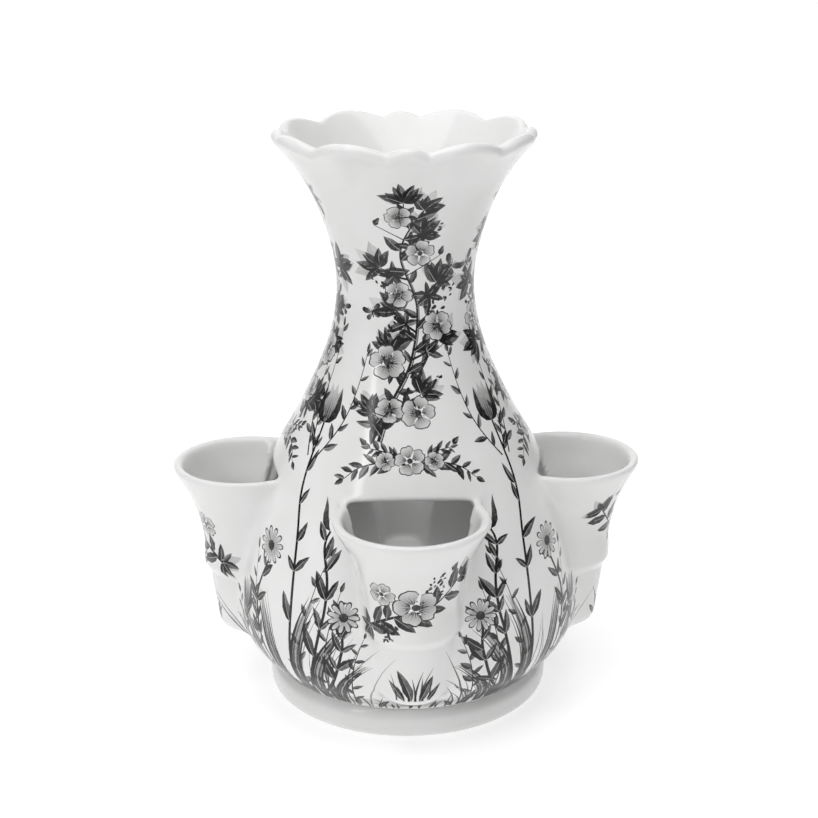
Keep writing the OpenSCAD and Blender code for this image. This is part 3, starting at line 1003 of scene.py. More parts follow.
# ---------------------------------------------------------------- brushwork
# A generic pattern of flowering boughs, tulips, daisies and grasses in black and grey wash.
class Brush:
    """Gathers strokes as simple polygons in the flat layout (turn, height)."""

    def __init__(self, seed):
        self.rng = random.Random(seed)
        self.strokes = []

    # local scale of the wall: millimetres to a radian of turn, and to a millimetre of height
    @staticmethod
    def scale(z):
        d = float(BODY.both(min(max(z, 30.0), 280.0))[1])
        return float(per_turn(z)), math.sqrt(1 + d * d)

    def shape(self, at, outline, tone, ends, mode="mul"):
        """One polygon, from millimetres round a point of the wall."""
        a, b = self.scale(at[1])
        pts = [(at[0] + u / a, at[1] + v / b) for u, v in outline]
        run = [(at[0] + u / a, at[1] + v / b) for u, v in ends]
        self.add(pts, tone, run, mode)

    def add(self, pts, tone, run, mode="mul"):
        f = flat(np.array(pts, float))
        area = np.sum(f[:, 0] * np.roll(f[:, 1], -1) - np.roll(f[:, 0], -1) * f[:, 1]) / 2
        if abs(area) < 0.02:
            return
        if area < 0:
            pts = pts[::-1]
        r = flat(np.array(run, float))
        self.strokes.append({"points": [(float(p), float(q)) for p, q in pts],
                             "tone": tone, "run": (r[0], r[1]), "mode": mode})

    def line(self, path, w0, w1, tone, mode="mul", swell=0.0):
        """Tapering stroke along points of the wall, as short overlapping lengths."""
        p = np.array(path, float)
        n = len(p)
        m = np.array([self.scale(z) for z in p[:, 1]])
        d = np.gradient(p, axis=0) * m
        d /= np.maximum(np.linalg.norm(d, axis=1, keepdims=True), 1e-9)
        t = np.arange(n) / (n - 1)
        w = (w0 + (w1 - w0) * t + swell * np.sin(PI * t)) / 2
        off = np.stack([-d[:, 1], d[:, 0]], 1) * w[:, None] / m
        left, right = p + off, p - off
        step = 4
        for i in range(0, n - 1, step):
            j = min(i + step, n - 1)
            loop = [tuple(q) for q in right[i:j + 1]] + [tuple(q) for q in left[i:j + 1][::-1]]
            ta, tb = (tone[0] + (tone[1] - tone[0]) * i / (n - 1), tone[0] + (tone[1] - tone[0]) * j / (n - 1))
            self.add(loop, (ta, tb), (tuple(p[i]), tuple(p[j])), mode)

    @staticmethod
    def curve(points, n=16):
        """Smooth path through (turn, height) points."""
        p = [np.array(q, float) for q in points]
        out = []
        k = len(p) - 1
        for i in range(k):
            p0, p1, p2, p3 = p[max(i - 1, 0)], p[i], p[i + 1], p[min(i + 2, k)]
            for s in range(n):
                t = s / n
                out.append(0.5 * ((2 * p1) + (p2 - p0) * t + (2 * p0 - 5 * p1 + 4 * p2 - p3) * t * t
                                  + (3 * p1 - p0 - 3 * p2 + p3) * t ** 3))
        out.append(p[-1])
        return np.array(out)

    def offset(self, at, u, v):
        a, b = self.scale(at[1])
        return (at[0] + u / a, at[1] + v / b)

    def leaf(self, at, angle, length, width, dark=0.85, light=0.5, bend=0.0, vein=True, point=0.8):
        """Leaf in two halves of different strength, with a thin line kept light between them."""
        c, s = math.cos(angle), math.sin(angle)
        n = 6
        mid, lo, hi = [], [], []
        for i in range(n + 1):
            t = i / n
            w = width / 2 * math.sin(PI * t ** point) ** 0.85 * self.rng.uniform(0.84, 1.14) if 0 < i < n else 0.0
            x, y = length * t, bend * length * t * t
            mid.append((x * c - y * s, x * s + y * c))
            nx, ny = -s - 2 * bend * t * c, c - 2 * bend * t * s
            k = math.hypot(nx, ny)
            hi.append((mid[-1][0] + nx / k * w, mid[-1][1] + ny / k * w))
            lo.append((mid[-1][0] - nx / k * w, mid[-1][1] - ny / k * w))
        ends = (mid[0], mid[-1])
        a, b = (dark, light) if self.rng.random() < 0.6 else (light, dark)
        self.shape(at, mid + hi[1:-1][::-1], (a, a * 0.82), ends)
        self.shape(at, mid + lo[1:-1][::-1], (b, b * 0.7), ends)
        if vein and length > 9:
            vw = max(0.16, width * 0.03)
            vl = [(x, y) for x, y in mid[:-2]]
            side = [(x - s * vw, y + c * vw) for x, y in vl]
            back = [(x + s * vw, y - c * vw) for x, y in vl]
            self.shape(at, side + back[::-1], (0.22, 0.4), ends, "set")

    def dab(self, at, angle, length, width, tone):
        """Single touch of the brush."""
        c, s = math.cos(angle), math.sin(angle)
        loop = []
        for i in range(7):
            t = 2 * PI * i / 7
            x = length / 2 * (1 + math.cos(t))
            y = width / 2 * math.sin(t) * (0.75 + 0.25 * math.cos(t))
            loop.append((x * c - y * s, x * s + y * c))
        self.shape(at, loop, tone, ((0, 0), (length * c, length * s)))

    def blossom(self, at, size, petals=5, turn=0.0, squash=1.0):
        """Open flower: pale petals with dark edges and streaks round a dotted heart."""
        rng = self.rng
        for k in range(petals):
            a = turn + 2 * PI * k / petals + rng.uniform(-0.1, 0.1)
            c, s = math.cos(a), math.sin(a)
            half = PI / petals * 1.02
            loop = []
            for i in range(9):
                t = -1 + 2 * i / 8
                r = size * (0.98 - 0.26 * abs(t) ** 2.4 - 0.07 * math.cos(t * 2.4) ** 8) * rng.uniform(0.96, 1.03)
                loop.append((r * math.cos(a + t * half), r * math.sin(a + t * half) * squash))
            inner = (0.16 * size * c, 0.16 * size * s * squash)
            tip = (size * c, size * s * squash)
            self.shape(at, [inner] + loop, (0.34, 0.015), (inner, tip), "set")
            # edge
            edge = loop + [(x * 0.93, y * 0.93) for x, y in loop[::-1]]
            self.shape(at, edge, (rng.uniform(0.55, 0.8),) * 2, (inner, tip))
            for q in (-0.45, 0.0, 0.4):
                b = a + q * half
                r0, r1 = 0.24 * size, size * rng.uniform(0.5, 0.72)
                w = size * 0.022
                e = (-math.sin(b) * w, math.cos(b) * w * squash)
                p0, p1 = (r0 * math.cos(b), r0 * math.sin(b) * squash), (r1 * math.cos(b), r1 * math.sin(b) * squash)
                self.shape(at, [(p0[0] - e[0], p0[1] - e[1]), p1, (p0[0] + e[0], p0[1] + e[1])], (0.75, 0.3), (p0, p1))
        heart = [(0.17 * size * math.cos(t), 0.17 * size * math.sin(t) * squash) for t in np.arange(9) * 2 * PI / 9]
        self.shape(at, heart, (0.8, 0.62), (heart[0], heart[4]), "set")
        for k in range(9):
            a = 2 * PI * k / 9 + rng.uniform(-0.15, 0.15)
            r = size * rng.uniform(0.24, 0.33)
            self.dab(self.offset(at, r * math.cos(a), r * math.sin(a) * squash), a, size * 0.085, size * 0.07, (0.9, 0.9))

    def tulip(self, at, angle, size, shade=0.5):
        """Tulip head from the side, with the angle it leans at."""
        c, s = math.cos(angle), math.sin(angle)

        def turn(q):
            return [(x * s * size + y * c * size, -x * c * size + y * s * size) for x, y in q]

        body = [(0, 0), (0.2, 0.03), (0.37, 0.18), (0.43, 0.42), (0.4, 0.7), (0.33, 0.98), (0.2, 0.8), (0.1, 1.08), (0, 0.86),
                (-0.12, 1.06), (-0.2, 0.8), (-0.34, 0.98), (-0.41, 0.7), (-0.43, 0.42), (-0.37, 0.18), (-0.2, 0.03)]
        self.shape(at, turn(body), (shade, 0.08), turn([(0, 0), (0, 1)]), "set")
        for side in (-1, 1):
            outer = [(0, 0), (0.2 * side, 0.03), (0.37 * side, 0.18), (0.43 * side, 0.42), (0.4 * side, 0.7), (0.33 * side, 0.98),
                     (0.27 * side, 0.7), (0.22 * side, 0.4), (0.12 * side, 0.15)]
            self.shape(at, turn(outer), (0.8, 0.5), turn([(0, 0), (0.33 * side, 1)]))
            for q, h in ((0.07, 0.62), (0.14, 0.5)):
                self.shape(at, turn([(q * side - 0.012, 0.1), (q * side * 1.35, h), (q * side + 0.018, 0.1)]), (0.8, 0.35),
                           turn([(0, 0.1), (0, h)]))
        self.shape(at, turn([(-0.02, 0.12), (0, 0.78), (0.02, 0.12)]), (0.75, 0.3), turn([(0, 0.1), (0, 0.8)]))

    def bud(self, at, angle, size):
        self.leaf(at, angle, size, size * 0.55, 0.9, 0.6, 0.0, False, 0.7)
        self.dab(at, angle + 0.5, size * 0.5, size * 0.22, (0.85, 0.6))
        self.dab(at, angle - 0.5, size * 0.5, size * 0.22, (0.9, 0.7))

    def spray(self, path, size, dark=0.85, width=1.0, every=2):
        """Leafy stem: alternate leaves along a path, smaller towards its tip."""
        rng = self.rng
        p = np.array(path)
        self.line(p, width, 0.3, (dark, dark * 0.85))
        n = len(p)
        for k, i in enumerate(range(3, n - 1, every)):
            t = i / (n - 1)
            side = 1 if k % 2 else -1
            ln = size * (1.08 - 0.5 * t) * rng.uniform(0.85, 1.15)
            d = dark * rng.uniform(0.85, 1.08)
            self.leaf(tuple(p[i]), self.direction(p, i) + side * rng.uniform(0.5, 0.95), ln, ln * rng.uniform(0.3, 0.42),
                      min(0.96, d), d * rng.uniform(0.5, 0.85), rng.uniform(-0.2, 0.2))
        self.leaf(tuple(p[-1]), self.direction(p, n - 1), size * 0.6, size * 0.22, dark, dark * 0.7)

    def panicle(self, at, angle, length, count=19):
        """Cone of small florets, each one touch of the brush."""
        rng = self.rng
        c, s = math.cos(angle), math.sin(angle)
        for i in range(count):
            t = (i + rng.uniform(0, 1)) / count
            w = length * 0.3 * math.sin(PI * min(1.0, 0.16 + 0.84 * t) ** 0.8) + 0.5
            x, y = t * length, rng.uniform(-w, w)
            p = self.offset(at, x * c - y * s, x * s + y * c)
            size = rng.uniform(2.1, 3.3) * (1.15 - 0.4 * t)
            tone = rng.choice((0.94, 0.9, 0.82, 0.66, 0.46))
            self.dab(p, angle + rng.uniform(-1.2, 1.2), size, size * 0.72, (tone, tone * 0.8))

    def butterfly(self, at, angle, size):
        """Small butterfly seen from above, with the way it flies."""
        c, s = math.cos(angle), math.sin(angle)

        def turn(q):
            return [((y * c + x * s) * size, (y * s - x * c) * size) for x, y in q]

        for side in (-1, 1):
            fore = [(0.04, 0.12), (0.3, 0.44), (0.62, 0.62), (0.84, 0.58), (0.86, 0.36), (0.66, 0.12), (0.34, 0.0), (0.04, -0.02)]
            hind = [(0.04, -0.04), (0.36, -0.06), (0.6, -0.16), (0.64, -0.36), (0.46, -0.54), (0.26, -0.44), (0.06, -0.16)]
            for wing, tone in ((hind, (0.3, 0.8)), (fore, (0.24, 0.9))):
                loop = [(x * side, y) for x, y in wing]
                self.shape(at, turn(loop), tone, turn([(0, 0), (0.8 * side, 0.3 if wing is fore else -0.4)]))
        self.shape(at, turn([(-0.05, -0.34), (-0.055, 0.1), (0, 0.26), (0.055, 0.1), (0.05, -0.34), (0, -0.42)]), (0.95, 0.95), turn([(0, -0.4), (0, 0.2)]))
        for side in (-1, 1):
            self.shape(at, turn([(0.01 * side, 0.22), (0.2 * side, 0.5), (0.24 * side, 0.49), (0.05 * side, 0.22)]), (0.85, 0.85), turn([(0, 0.2), (0.2, 0.5)]))

    def daisy(self, at, size, petals=11):
        """Round flower with many narrow petals."""
        rng = self.rng
        turn = rng.uniform(0, 1)
        for grow, tone, mode in ((1.0, None, "mul"), (0.9, (0.26, 0.03), "set")):
            for k in range(petals):
                a = turn + 2 * PI * k / petals
                c, s = math.cos(a), math.sin(a)
                loop = []
                for x, y in ((0.2, 0.05), (0.5, 0.12), (0.78, 0.15), (0.94, 0.1), (1.0, 0.0), (0.94, -0.1), (0.78, -0.15), (0.5, -0.12), (0.2, -0.05)):
                    x, y = x * size * (grow if x > 0.3 else 1), y * size * (grow - 0.08 if grow < 1 else 1.06)
                    loop.append((x * c - y * s, (x * s + y * c) * 0.93))
                ends = ((0.2 * size * c, 0.2 * size * s), (size * c, size * s))
                self.shape(at, loop, tone or (0.85, rng.uniform(0.5, 0.75)), ends, mode)
        heart = [(0.27 * size * math.cos(t), 0.25 * size * math.sin(t)) for t in np.arange(10) * 2 * PI / 10]
        self.shape(at, heart, (0.92, 0.66), ((0, -0.27 * size), (0, 0.27 * size)), "set")

    def blade(self, at, height, lean, width, tone):
        """Blade of grass."""
        n = 9
        pts = []
        for i in range(n):
            t = i / (n - 1)
            pts.append(self.offset(at, lean * height * t ** 1.8, height * t))
        self.line(pts, width, 0.12, (tone, tone * 0.7), swell=width * 0.3)

    def cluster(self, at, angle, count, length, dark=0.9, wash=True):
        """Fan of leaves at the end of a twig, over a paler wash of the same leaves."""
        rng = self.rng
        for k in range(3 if wash else 0):
            a = angle + (k - 1) * 0.85 + rng.uniform(-0.25, 0.25)
            ln = length * rng.uniform(1.05, 1.35)
            t = rng.uniform(0.1, 0.19)
            self.leaf(at, a, ln, ln * 0.48, t, t * 0.8, rng.uniform(-0.2, 0.2), False)
        for k in range(count):
            a = angle + (k - (count - 1) / 2) * (2.4 / max(count - 1, 1)) + rng.uniform(-0.14, 0.14)
            ln = length * rng.uniform(0.75, 1.15)
            d = dark * rng.uniform(0.85, 1.06)
            self.leaf(at, a, ln, ln * rng.uniform(0.36, 0.48), min(0.97, d), d * rng.uniform(0.55, 0.88), rng.uniform(-0.18, 0.18))

    def direction(self, p, i):
        a, b = self.scale(p[i][1])
        d = (p[min(i + 1, len(p) - 1)] - p[max(i - 1, 0)]) * (a, b)
        return math.atan2(d[1], d[0])

    # ------------------------------------------------------------ groups
    def bough(self, o, flip):
        """Flowering bough up the neck over a pocket."""
        rng = self.rng
        k = flip * DEG
        main = self.curve([(o - 15 * k, 156), (o - 10 * k, 173), (o + 3 * k, 194), (o + 8 * k, 220), (o - 5 * k, 247), (o + 10 * k, 270)], 14)
        self.line(main, 2.9, 0.8, (0.93, 0.82))
        self.line(main + (0.5 / 50 * flip, 0.0), 0.6, 0.2, (0.2, 0.3), "set")
        n = len(main)
        spots = [(0.07, -1, 12), (0.17, 1, 20), (0.29, -1, 19), (0.4, 1, 17), (0.5, -1, 15), (0.6, 1, 15), (0.7, -1, 15), (0.8, 1, 14), (0.9, -1, 15)]
        for t, side, reach in spots:
            i = int(t * (n - 1))
            a = self.direction(main, i) + side * flip * rng.uniform(-1.05, -0.75)
            p0 = main[i]
            mid = self.offset(p0, reach * 0.5 * math.cos(a), reach * 0.5 * math.sin(a))
            end = self.offset(p0, reach * math.cos(a + 0.14 * side), reach * math.sin(a + 0.14 * side))
            twig = self.curve([p0, mid, end], 6)
            self.line(twig, 1.3, 0.5, (0.92, 0.82))
            ta = self.direction(twig, len(twig) - 1)
            self.cluster(tuple(end), ta, rng.choice((6, 7)), 12.0)
            self.cluster(tuple(mid), a + 1.1, 3, 9.5, 0.9, False)
            self.cluster(tuple(mid), a - 1.1, 3, 9.5, 0.9, False)
        for i in range(3, n - 2, 3):
            side = 1 if (i // 3) % 2 else -1
            a = self.direction(main, i) + side * rng.uniform(0.6, 1.1)
            ln = rng.uniform(7.5, 11.5)
            self.leaf(tuple(main[i]), a, ln, ln * 0.42, rng.uniform(0.76, 0.96), rng.uniform(0.45, 0.75), rng.uniform(-0.15, 0.15))
        self.cluster(tuple(main[-1]), self.direction(main, n - 1), 6, 9.5)
        for t, side, size in ((0.24, 1, 22), (0.45, -1, 20), (0.56, 1, 19), (0.68, -1, 18), (0.84, 1, 17)):
            i = int(t * (n - 1))
            a = self.direction(main, i) - side * flip * rng.uniform(0.7, 1.0)
            self.panicle(self.offset(main[i], 5 * math.cos(a), 5 * math.sin(a)), a, size)
        for t, du, dv, size in ((0.08, 3, 11, 8.6), (0.2, 13, -4, 9.6), (0.34, -10, 7, 10.4), (0.5, 11, 3, 9.0), (0.64, -9, 2, 8.2), (0.78, 9, 4, 8.0),
                                (0.93, -8, 3, 7.6)):
            p = self.offset(main[int(t * (n - 1))], du * flip, dv)
            self.blossom(p, size, 5, rng.uniform(0, 6), rng.uniform(0.82, 1.0))
        self.butterfly(self.offset((o + 9 * k, 236), 17 * flip, 3), 0.9 if flip > 0 else 2.3, 7.5)
        self.butterfly(self.offset((o - 2 * k, 214), -17 * flip, 2), 1.9 if flip > 0 else 1.2, 6.2)
        for t, du, dv in ((0.15, -17, 4), (0.36, 20, 12), (0.56, -17, 8), (0.72, 16, 10), (0.86, -14, 8)):
            p = self.offset(main[int(t * (n - 1))], du * flip, dv)
            self.line(self.curve([main[int(t * (n - 1))], p], 5), 0.6, 0.35, (0.8, 0.8))
            self.bud(p, rng.uniform(0.8, 2.2), 5.4)

    def clump(self, o, flip):
        """Tall clump of tulips, daisies and leafy stems from the foot up between two pockets."""
        rng = self.rng
        k = flip * DEG
        # grasses and leafy stems at the back
        for j in range(22):
            du = rng.uniform(-38, 38)
            at = self.offset((o, 17.2), du * flip, 0)
            self.blade(at, rng.uniform(30, 78) * (1.0 - 0.3 * abs(du) / 38), (du / 90 + rng.uniform(-0.16, 0.16)) * flip, rng.uniform(0.7, 1.2), rng.uniform(0.3, 0.7))
        for du, height, lean, size in ((-31, 58, -0.12, 9.0), (-20, 84, -0.06, 10.0), (29, 54, 0.16, 9.0), (17, 92, 0.05, 10.0), (-7, 104, -0.1, 9.5)):
            at = self.offset((o, 17.6), du * flip, 0)
            n = 22
            path = [self.offset(at, lean * flip * height * (i / (n - 1)) ** 1.7, height * i / (n - 1)) for i in range(n)]
            self.spray(path, size, rng.uniform(0.72, 0.92))
        # strap leaves of the tulips
        for du, height, lean, w in ((-14, 62, -0.26, 9.0), (-5, 78, -0.12, 9.6), (6, 70, 0.14, 9.4), (15, 56, 0.32, 8.6), (-24, 40, -0.4, 7.4), (25, 38, 0.44, 7.4)):
            at = self.offset((o, 17.4), du * flip, 0)
            n = 13
            mid = np.array([self.offset(at, lean * flip * height * (i / (n - 1)) ** 2.2, height * i / (n - 1)) for i in range(n)])
            tone = rng.uniform(0.2, 0.34)
            self.line(mid, w * 0.62, 0.3, (tone + 0.3, tone * 0.7), swell=w * 0.5)
            for off, tw, t0 in ((0.3, 0.2, 0.92), (-0.34, 0.1, 0.85), (0.12, 0.06, 0.7), (-0.14, 0.06, 0.7)):
                self.line(mid + (off * w / 95 * flip, 0.0), w * tw, 0.15, (t0, t0 * 0.75), swell=w * tw * 0.5)
            self.line(mid, 0.34, 0.14, (0.08, 0.16), "set")
        stems = [((o - 2 * k, 18), (o - 3 * k, 60), (o - 1 * k, 105), (o + 4 * k, 140), (o + 5 * k, 160), "tulip", 20.0, 0.5),
                 ((o - 5 * k, 18), (o - 12 * k, 50), (o - 14 * k, 84), (o - 10 * k, 106), (o - 10 * k, 114), "tulip", 16.5, 0.6),
                 ((o + 4 * k, 18), (o + 10 * k, 44), (o + 13 * k, 70), (o + 9 * k, 92), (o + 9 * k, 98), "daisy", 10.5, 0.42),
                 ((o - 8 * k, 18), (o - 17 * k, 36), (o - 21 * k, 56), (o - 20 * k, 70), (o - 20 * k, 74), "daisy", 9.6, 0.5),
                 ((o + 8 * k, 18), (o + 17 * k, 34), (o + 21 * k, 46), (o + 20 * k, 56), (o + 20 * k, 60), "tulip", 14.0, 0.55)]
        for *pts, kind, size, shade in stems:
            path = self.curve(pts, 9)
            self.line(path, 1.9, 1.2, (0.92, 0.84))
            n = len(path)
            for t in (0.3, 0.4, 0.5, 0.6, 0.7, 0.8):
                i = int((t + rng.uniform(-0.04, 0.04)) * (n - 1))
                side = 1 if rng.random() < 0.5 else -1
                ln = rng.uniform(11, 19) * (1.15 - 0.5 * t)
                for s, g in ((side, 1.0), (-side, 0.75)):
                    if g < 1 and rng.random() < 0.45:
                        continue
                    self.leaf(tuple(path[i]), self.direction(path, i) + s * rng.uniform(0.45, 0.85), ln * g, ln * g * 0.32,
                              rng.uniform(0.8, 0.96), rng.uniform(0.5, 0.75), rng.uniform(-0.2, 0.2))
            if kind == "tulip":
                self.tulip(tuple(path[-1]), self.direction(path, n - 1), size, shade)
            else:
                self.daisy(tuple(path[-1]), size)
        # leafy stems either side of the tall flower, up to the neck
        for j, (d0, d1, d2, top) in enumerate(((2, -9, -15, 196), (7, 18, 24, 190), (4, 12, 13, 206))):
            path = self.curve([(o + d0 * k, 144), (o + d1 * k, 166), (o + d2 * k, top)], 10)
            self.spray(path, 9.0, rng.uniform(0.75, 0.92), 0.9)

    def garland(self, o, flip):
        """Two leafy sprays that meet over a pocket's mouth."""
        rng = self.rng
        at = (o, 146.0)
        for side in (-1, 1):
            path = self.curve([self.offset(at, side * 2, 0.5), self.offset(at, side * 13, 1.5),
                               self.offset(at, side * 25, -2.0), self.offset(at, side * 34, -9.0)], 8)
            self.spray(path, 10.5, rng.uniform(0.86, 0.95), 1.2)
            up = self.curve([self.offset(at, side * 5, 1.0), self.offset(at, side * 13, 6.5), self.offset(at, side * 22, 8.0)], 8)
            self.spray(up, 8.0, rng.uniform(0.7, 0.85), 0.9)
            self.blossom(self.offset(at, side * 12.5, 2.0), 5.6, 5, rng.uniform(0, 6), 0.95)
            self.bud(self.offset(at, side * 24, 9.5), PI / 2 - side * 0.9, 5.4)
        self.blossom(self.offset(at, 0, 2.5), 8.6, 5, rng.uniform(0, 6), 0.95)

    def border(self):
        """Grass and small leaves along the foot."""
        rng = self.rng
        for j in range(40):
            t = T0 + 2 * PI * (j + rng.uniform(-0.4, 0.4)) / 40
            w, h = rng.uniform(9, 18), rng.uniform(2.0, 4.5)
            loop = [(w * math.cos(q) * rng.uniform(0.9, 1.1), h * math.sin(q) * rng.uniform(0.8, 1.2)) for q in np.arange(14) * 2 * PI / 14]
            tone = rng.uniform(0.05, 0.13)
            self.shape((t, rng.uniform(21.5, 26)), loop, (tone * 1.6, tone * 0.5), ((0, -h), (0, h)))
        count = 84
        for j in range(count):
            t = T0 + 2 * PI * (j + rng.uniform(-0.3, 0.3)) / count
            f = (t + PI / 4) % (PI / 2) - PI / 4
            tall = 0.4 + 0.6 * float(smoothstep(8 * DEG, 22 * DEG, np.float64(abs(f))))
            for q in range(2):
                self.blade((t, 17.0), rng.uniform(9, 28) * tall, rng.uniform(-0.5, 0.5), rng.uniform(0.8, 1.4), rng.uniform(0.5, 0.95))
        for j in range(48):
            t = T0 + 2 * PI * (j + rng.uniform(-0.35, 0.35)) / 48
            f = (t + PI / 4) % (PI / 2) - PI / 4
            tall = 0.5 + 0.5 * float(smoothstep(8 * DEG, 22 * DEG, np.float64(abs(f))))
            ln = rng.uniform(10, 20) * tall
            self.leaf((t, 17.2), PI / 2 + rng.uniform(-0.55, 0.55), ln, ln * 0.3, rng.uniform(0.82, 0.96), rng.uniform(0.5, 0.8), rng.uniform(-0.2, 0.2))

    def sprig(self, o, flip):
        """Spray across a pocket's cup, and a tuft on its boot."""
        rng = self.rng
        z = 88.0
        path = self.curve([self.offset((o, z), -25 * flip, -11), self.offset((o, z), -10 * flip, -3), self.offset((o, z), 9 * flip, 3),
                           self.offset((o, z), 25 * flip, 17)], 9)
        self.line(path, 1.7, 0.6, (0.95, 0.85))
        n = len(path)
        for i in range(1, n - 1, 2):
            side = 1 if (i // 2) % 2 else -1
            ln = rng.uniform(10, 14)
            self.leaf(tuple(path[i]), self.direction(path, i) + side * rng.uniform(0.6, 1.0), ln, ln * 0.44, rng.uniform(0.86, 0.97),
                      rng.uniform(0.6, 0.85), rng.uniform(-0.15, 0.15))
        self.cluster(tuple(path[-1]), self.direction(path, n - 1), 5, 10.0)
        self.cluster(tuple(path[0]), self.direction(path, 0) + PI, 4, 9.0)
        self.panicle(self.offset((o, z), 9 * flip, 8), 1.35, 15, 22)
        self.panicle(self.offset((o, z), -11 * flip, -6), -1.9, 11, 16)
        self.blossom(self.offset((o, z), 1.0 * flip, 3.5), 12.5, 5, rng.uniform(0, 6), 0.92)
        self.blossom(self.offset((o, z), -16 * flip, 9.5), 8.2, 5, rng.uniform(0, 6), 0.92)
        self.bud(self.offset((o, z), 18 * flip, 23), 1.2, 6.0)
        base = (o, 37.0)
        for j in range(9):
            du = rng.uniform(-10, 10)
            self.blade(self.offset(base, du, 0), rng.uniform(9, 22), du / 30 + rng.uniform(-0.25, 0.25), rng.uniform(0.8, 1.2), rng.uniform(0.5, 0.9))
        for du, ln in ((-4.5, 15), (-1.0, 21), (3.0, 17), (6.5, 12)):
            self.leaf(self.offset(base, du * flip, 0), PI / 2 - (du / 11 + rng.uniform(-0.15, 0.15)) * flip, ln, ln * 0.26,
                      rng.uniform(0.82, 0.95), rng.uniform(0.5, 0.75), rng.uniform(-0.15, 0.15))


def paint():
    b = Brush(11)
    for i, (_, o) in enumerate(PLACES):
        flip = 1 if i % 2 == 0 else -1
        b.clump(o + PI / 4, flip)
    b.border()
    for i, (_, o) in enumerate(PLACES):
        flip = 1 if i % 2 == 0 else -1
        b.bough(o, flip)
        b.sprig(o, flip)
        b.garland(o, flip)
    # nothing runs over the joints at foot and rim, or over the edge of a mouth
    loop = flat(MOUTH_OUT)
    mid = loop.mean(0)
    loop = mid + (loop - mid) * 1.05
    kept = []
    for s in b.strokes:
        p = np.array(s["points"])
        if p[:, 1].min() < FOOT_Z + 0.5 or p[:, 1].max() > RIM_Z - 1.2:
            continue
        q = flat(p)
        bad = False
        for _, o in PLACES:
            f = (p[:, 0] - o + PI) % (2 * PI) - PI
            near = np.abs(f) < 44 * DEG
            if near.any() and inside_polygon(f[near] * R0, q[near, 1], loop).any():
                bad = True
                break
        if bad:
            continue
        kept.append(s)
        lo, hi = p[:, 0].min(), p[:, 0].max()
        for shift, cross in ((2 * PI, lo < T0 + 0.02), (-2 * PI, hi > T1 - 0.02)):
            if cross:
                d = np.array([shift * R0, 0.0])
                kept.append(dict(s, points=[(a + shift, z) for a, z in s["points"]], run=(s["run"][0] + d, s["run"][1] + d)))
    return kept


build_walls(paint())
build_rim()
build_foot()

# ------------------------------------------------------ stage, light, camera
scene = bpy.context.scene


def plain_floor():
    me = bpy.data.meshes.new("studio_floor")
    bm = bmesh.new()
    # floor that sweeps up into the backdrop
    prof = [(-6.0, 0.0), (1.6, 0.0)] + [(1.6 + 0.9 * math.sin(t * PI / 24), 0.9 - 0.9 * math.cos(t * PI / 24)) for t in range(1, 13)] + [(2.5, 4.5)]
    rows = [[bm.verts.new((x, y, z)) for y, z in prof] for x in (-5.0, 5.0)]
    for i in range(len(prof) - 1):
        bm.faces.new((rows[0][i], rows[1][i], rows[1][i + 1], rows[0][i + 1]))
    for f in bm.faces:
        f.smooth = True
    bm.to_mesh(me)
    bm.free()
    ob = bpy.data.objects.new("studio_floor", me)
    mat, nodes, links, bsdf = principled("studio_white")
    bsdf.inputs["Base Color"].default_value = (0.6, 0.6, 0.6, 1)
    bsdf.inputs["Roughness"].default_value = 0.9
    bsdf.inputs["Specular IOR Level"].default_value = 0.1
    # lit from behind in the middle, as a light table is
    bsdf.inputs["Emission Color"].default_value = (1, 1, 1, 1)
    place = node(nodes, "ShaderNodeTexCoord")
    split = node(nodes, "ShaderNodeSeparateXYZ")
    links.new(place.outputs["Object"], split.inputs["Vector"])
    glow = spread(nodes, links, maths(nodes, links, "ABSOLUTE", split.outputs["X"]), 0.9, 1.7, 0.55, 0.1)
    links.new(glow, bsdf.inputs["Emission Strength"])
    me.materials.append(mat)
    scene.collection.objects.link(ob)


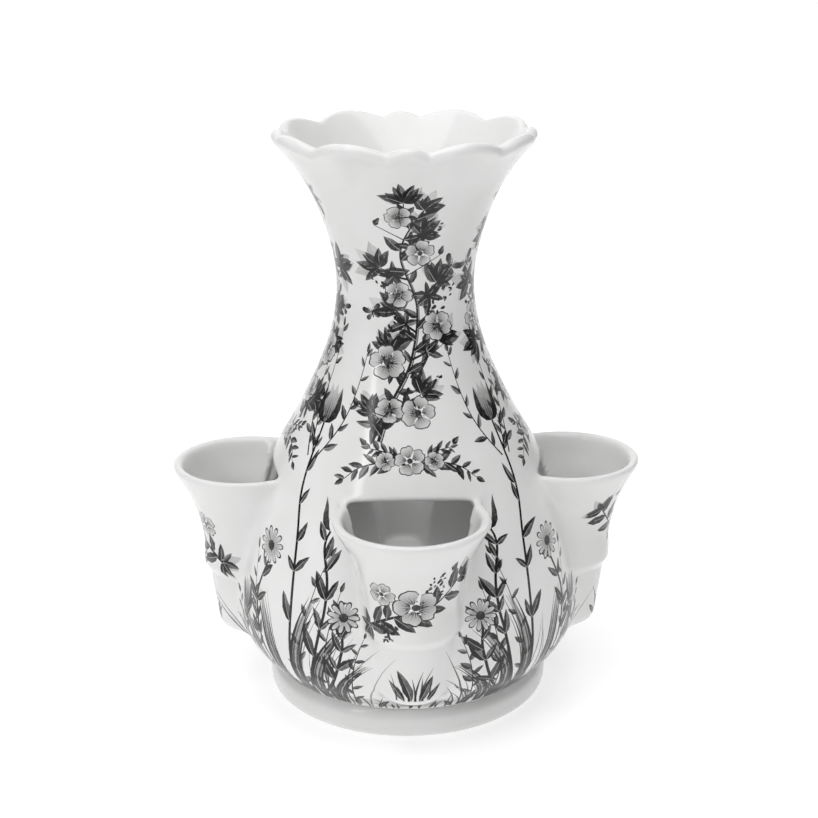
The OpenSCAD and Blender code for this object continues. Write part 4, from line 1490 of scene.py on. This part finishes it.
def area(name, loc, target, size, power, colour=(1, 1, 1)):
    li = bpy.data.lights.new(name, "AREA")
    li.shape = "RECTANGLE"
    li.size, li.size_y = size
    li.energy = power
    li.color = colour
    ob = bpy.data.objects.new(name, li)
    ob.location = loc
    ob.rotation_euler = (Vector(target) - Vector(loc)).to_track_quat("-Z", "Y").to_euler()
    scene.collection.objects.link(ob)
    return ob


plain_floor()
area("key_left", (-1.5, -1.5, 1.5), (0, 0, 0.15), (0.3, 1.4), 8)
area("fill_right", (1.8, -1.2, 1.0), (0, 0, 0.15), (1.4, 1.4), 0.4)
area("top_soft", (-0.1, -0.32, 2.2), (0, 0, 0.12), (2.0, 2.0), 33)
world = bpy.data.worlds.new("studio")
world.use_nodes = True
bg = world.node_tree.nodes["Background"]
bg.inputs["Color"].default_value = (1, 1, 1, 1)
# the room is brighter in front and to the left than at the sides and behind
sky = world.node_tree
ray = sky.nodes.new("ShaderNodeTexCoord")
face = sky.nodes.new("ShaderNodeVectorMath")
face.operation = "DOT_PRODUCT"
face.inputs[1].default_value = (-0.36, -0.66, 0.66)
ramp = sky.nodes.new("ShaderNodeMapRange")
ramp.interpolation_type = "SMOOTHSTEP"
ramp.inputs["From Min"].default_value = -0.1
ramp.inputs["From Max"].default_value = 1.0
ramp.inputs["To Min"].default_value = 0.1
ramp.inputs["To Max"].default_value = 0.5
sky.links.new(ray.outputs["Generated"], face.inputs[0])
sky.links.new(face.outputs["Value"], ramp.inputs["Value"])
sky.links.new(ramp.outputs["Result"], bg.inputs["Strength"])
scene.world = world
scene.view_settings.view_transform = "Standard"
scene.view_settings.look = "None"

cam = bpy.data.cameras.new("camera")
cam.sensor_width = 36
cam.lens = 36 * 1576.5 / 818
cam.shift_x = (409 - 406.2) / 818
cam.clip_end = 20
cam_ob = bpy.data.objects.new("camera", cam)
VIEW_TURN, VIEW_TILT, VIEW_ROLL = 1.536 * DEG, 18.33 * DEG, 0.387 * DEG
cam_ob.matrix_world = (Matrix.Rotation(-VIEW_TURN, 4, "Z") @ Matrix.Translation((0, -0.79328, 0.41743))
                       @ Matrix.Rotation(PI / 2 - VIEW_TILT, 4, "X") @ Matrix.Rotation(-VIEW_ROLL, 4, "Z"))
scene.collection.objects.link(cam_ob)
scene.camera = cam_ob
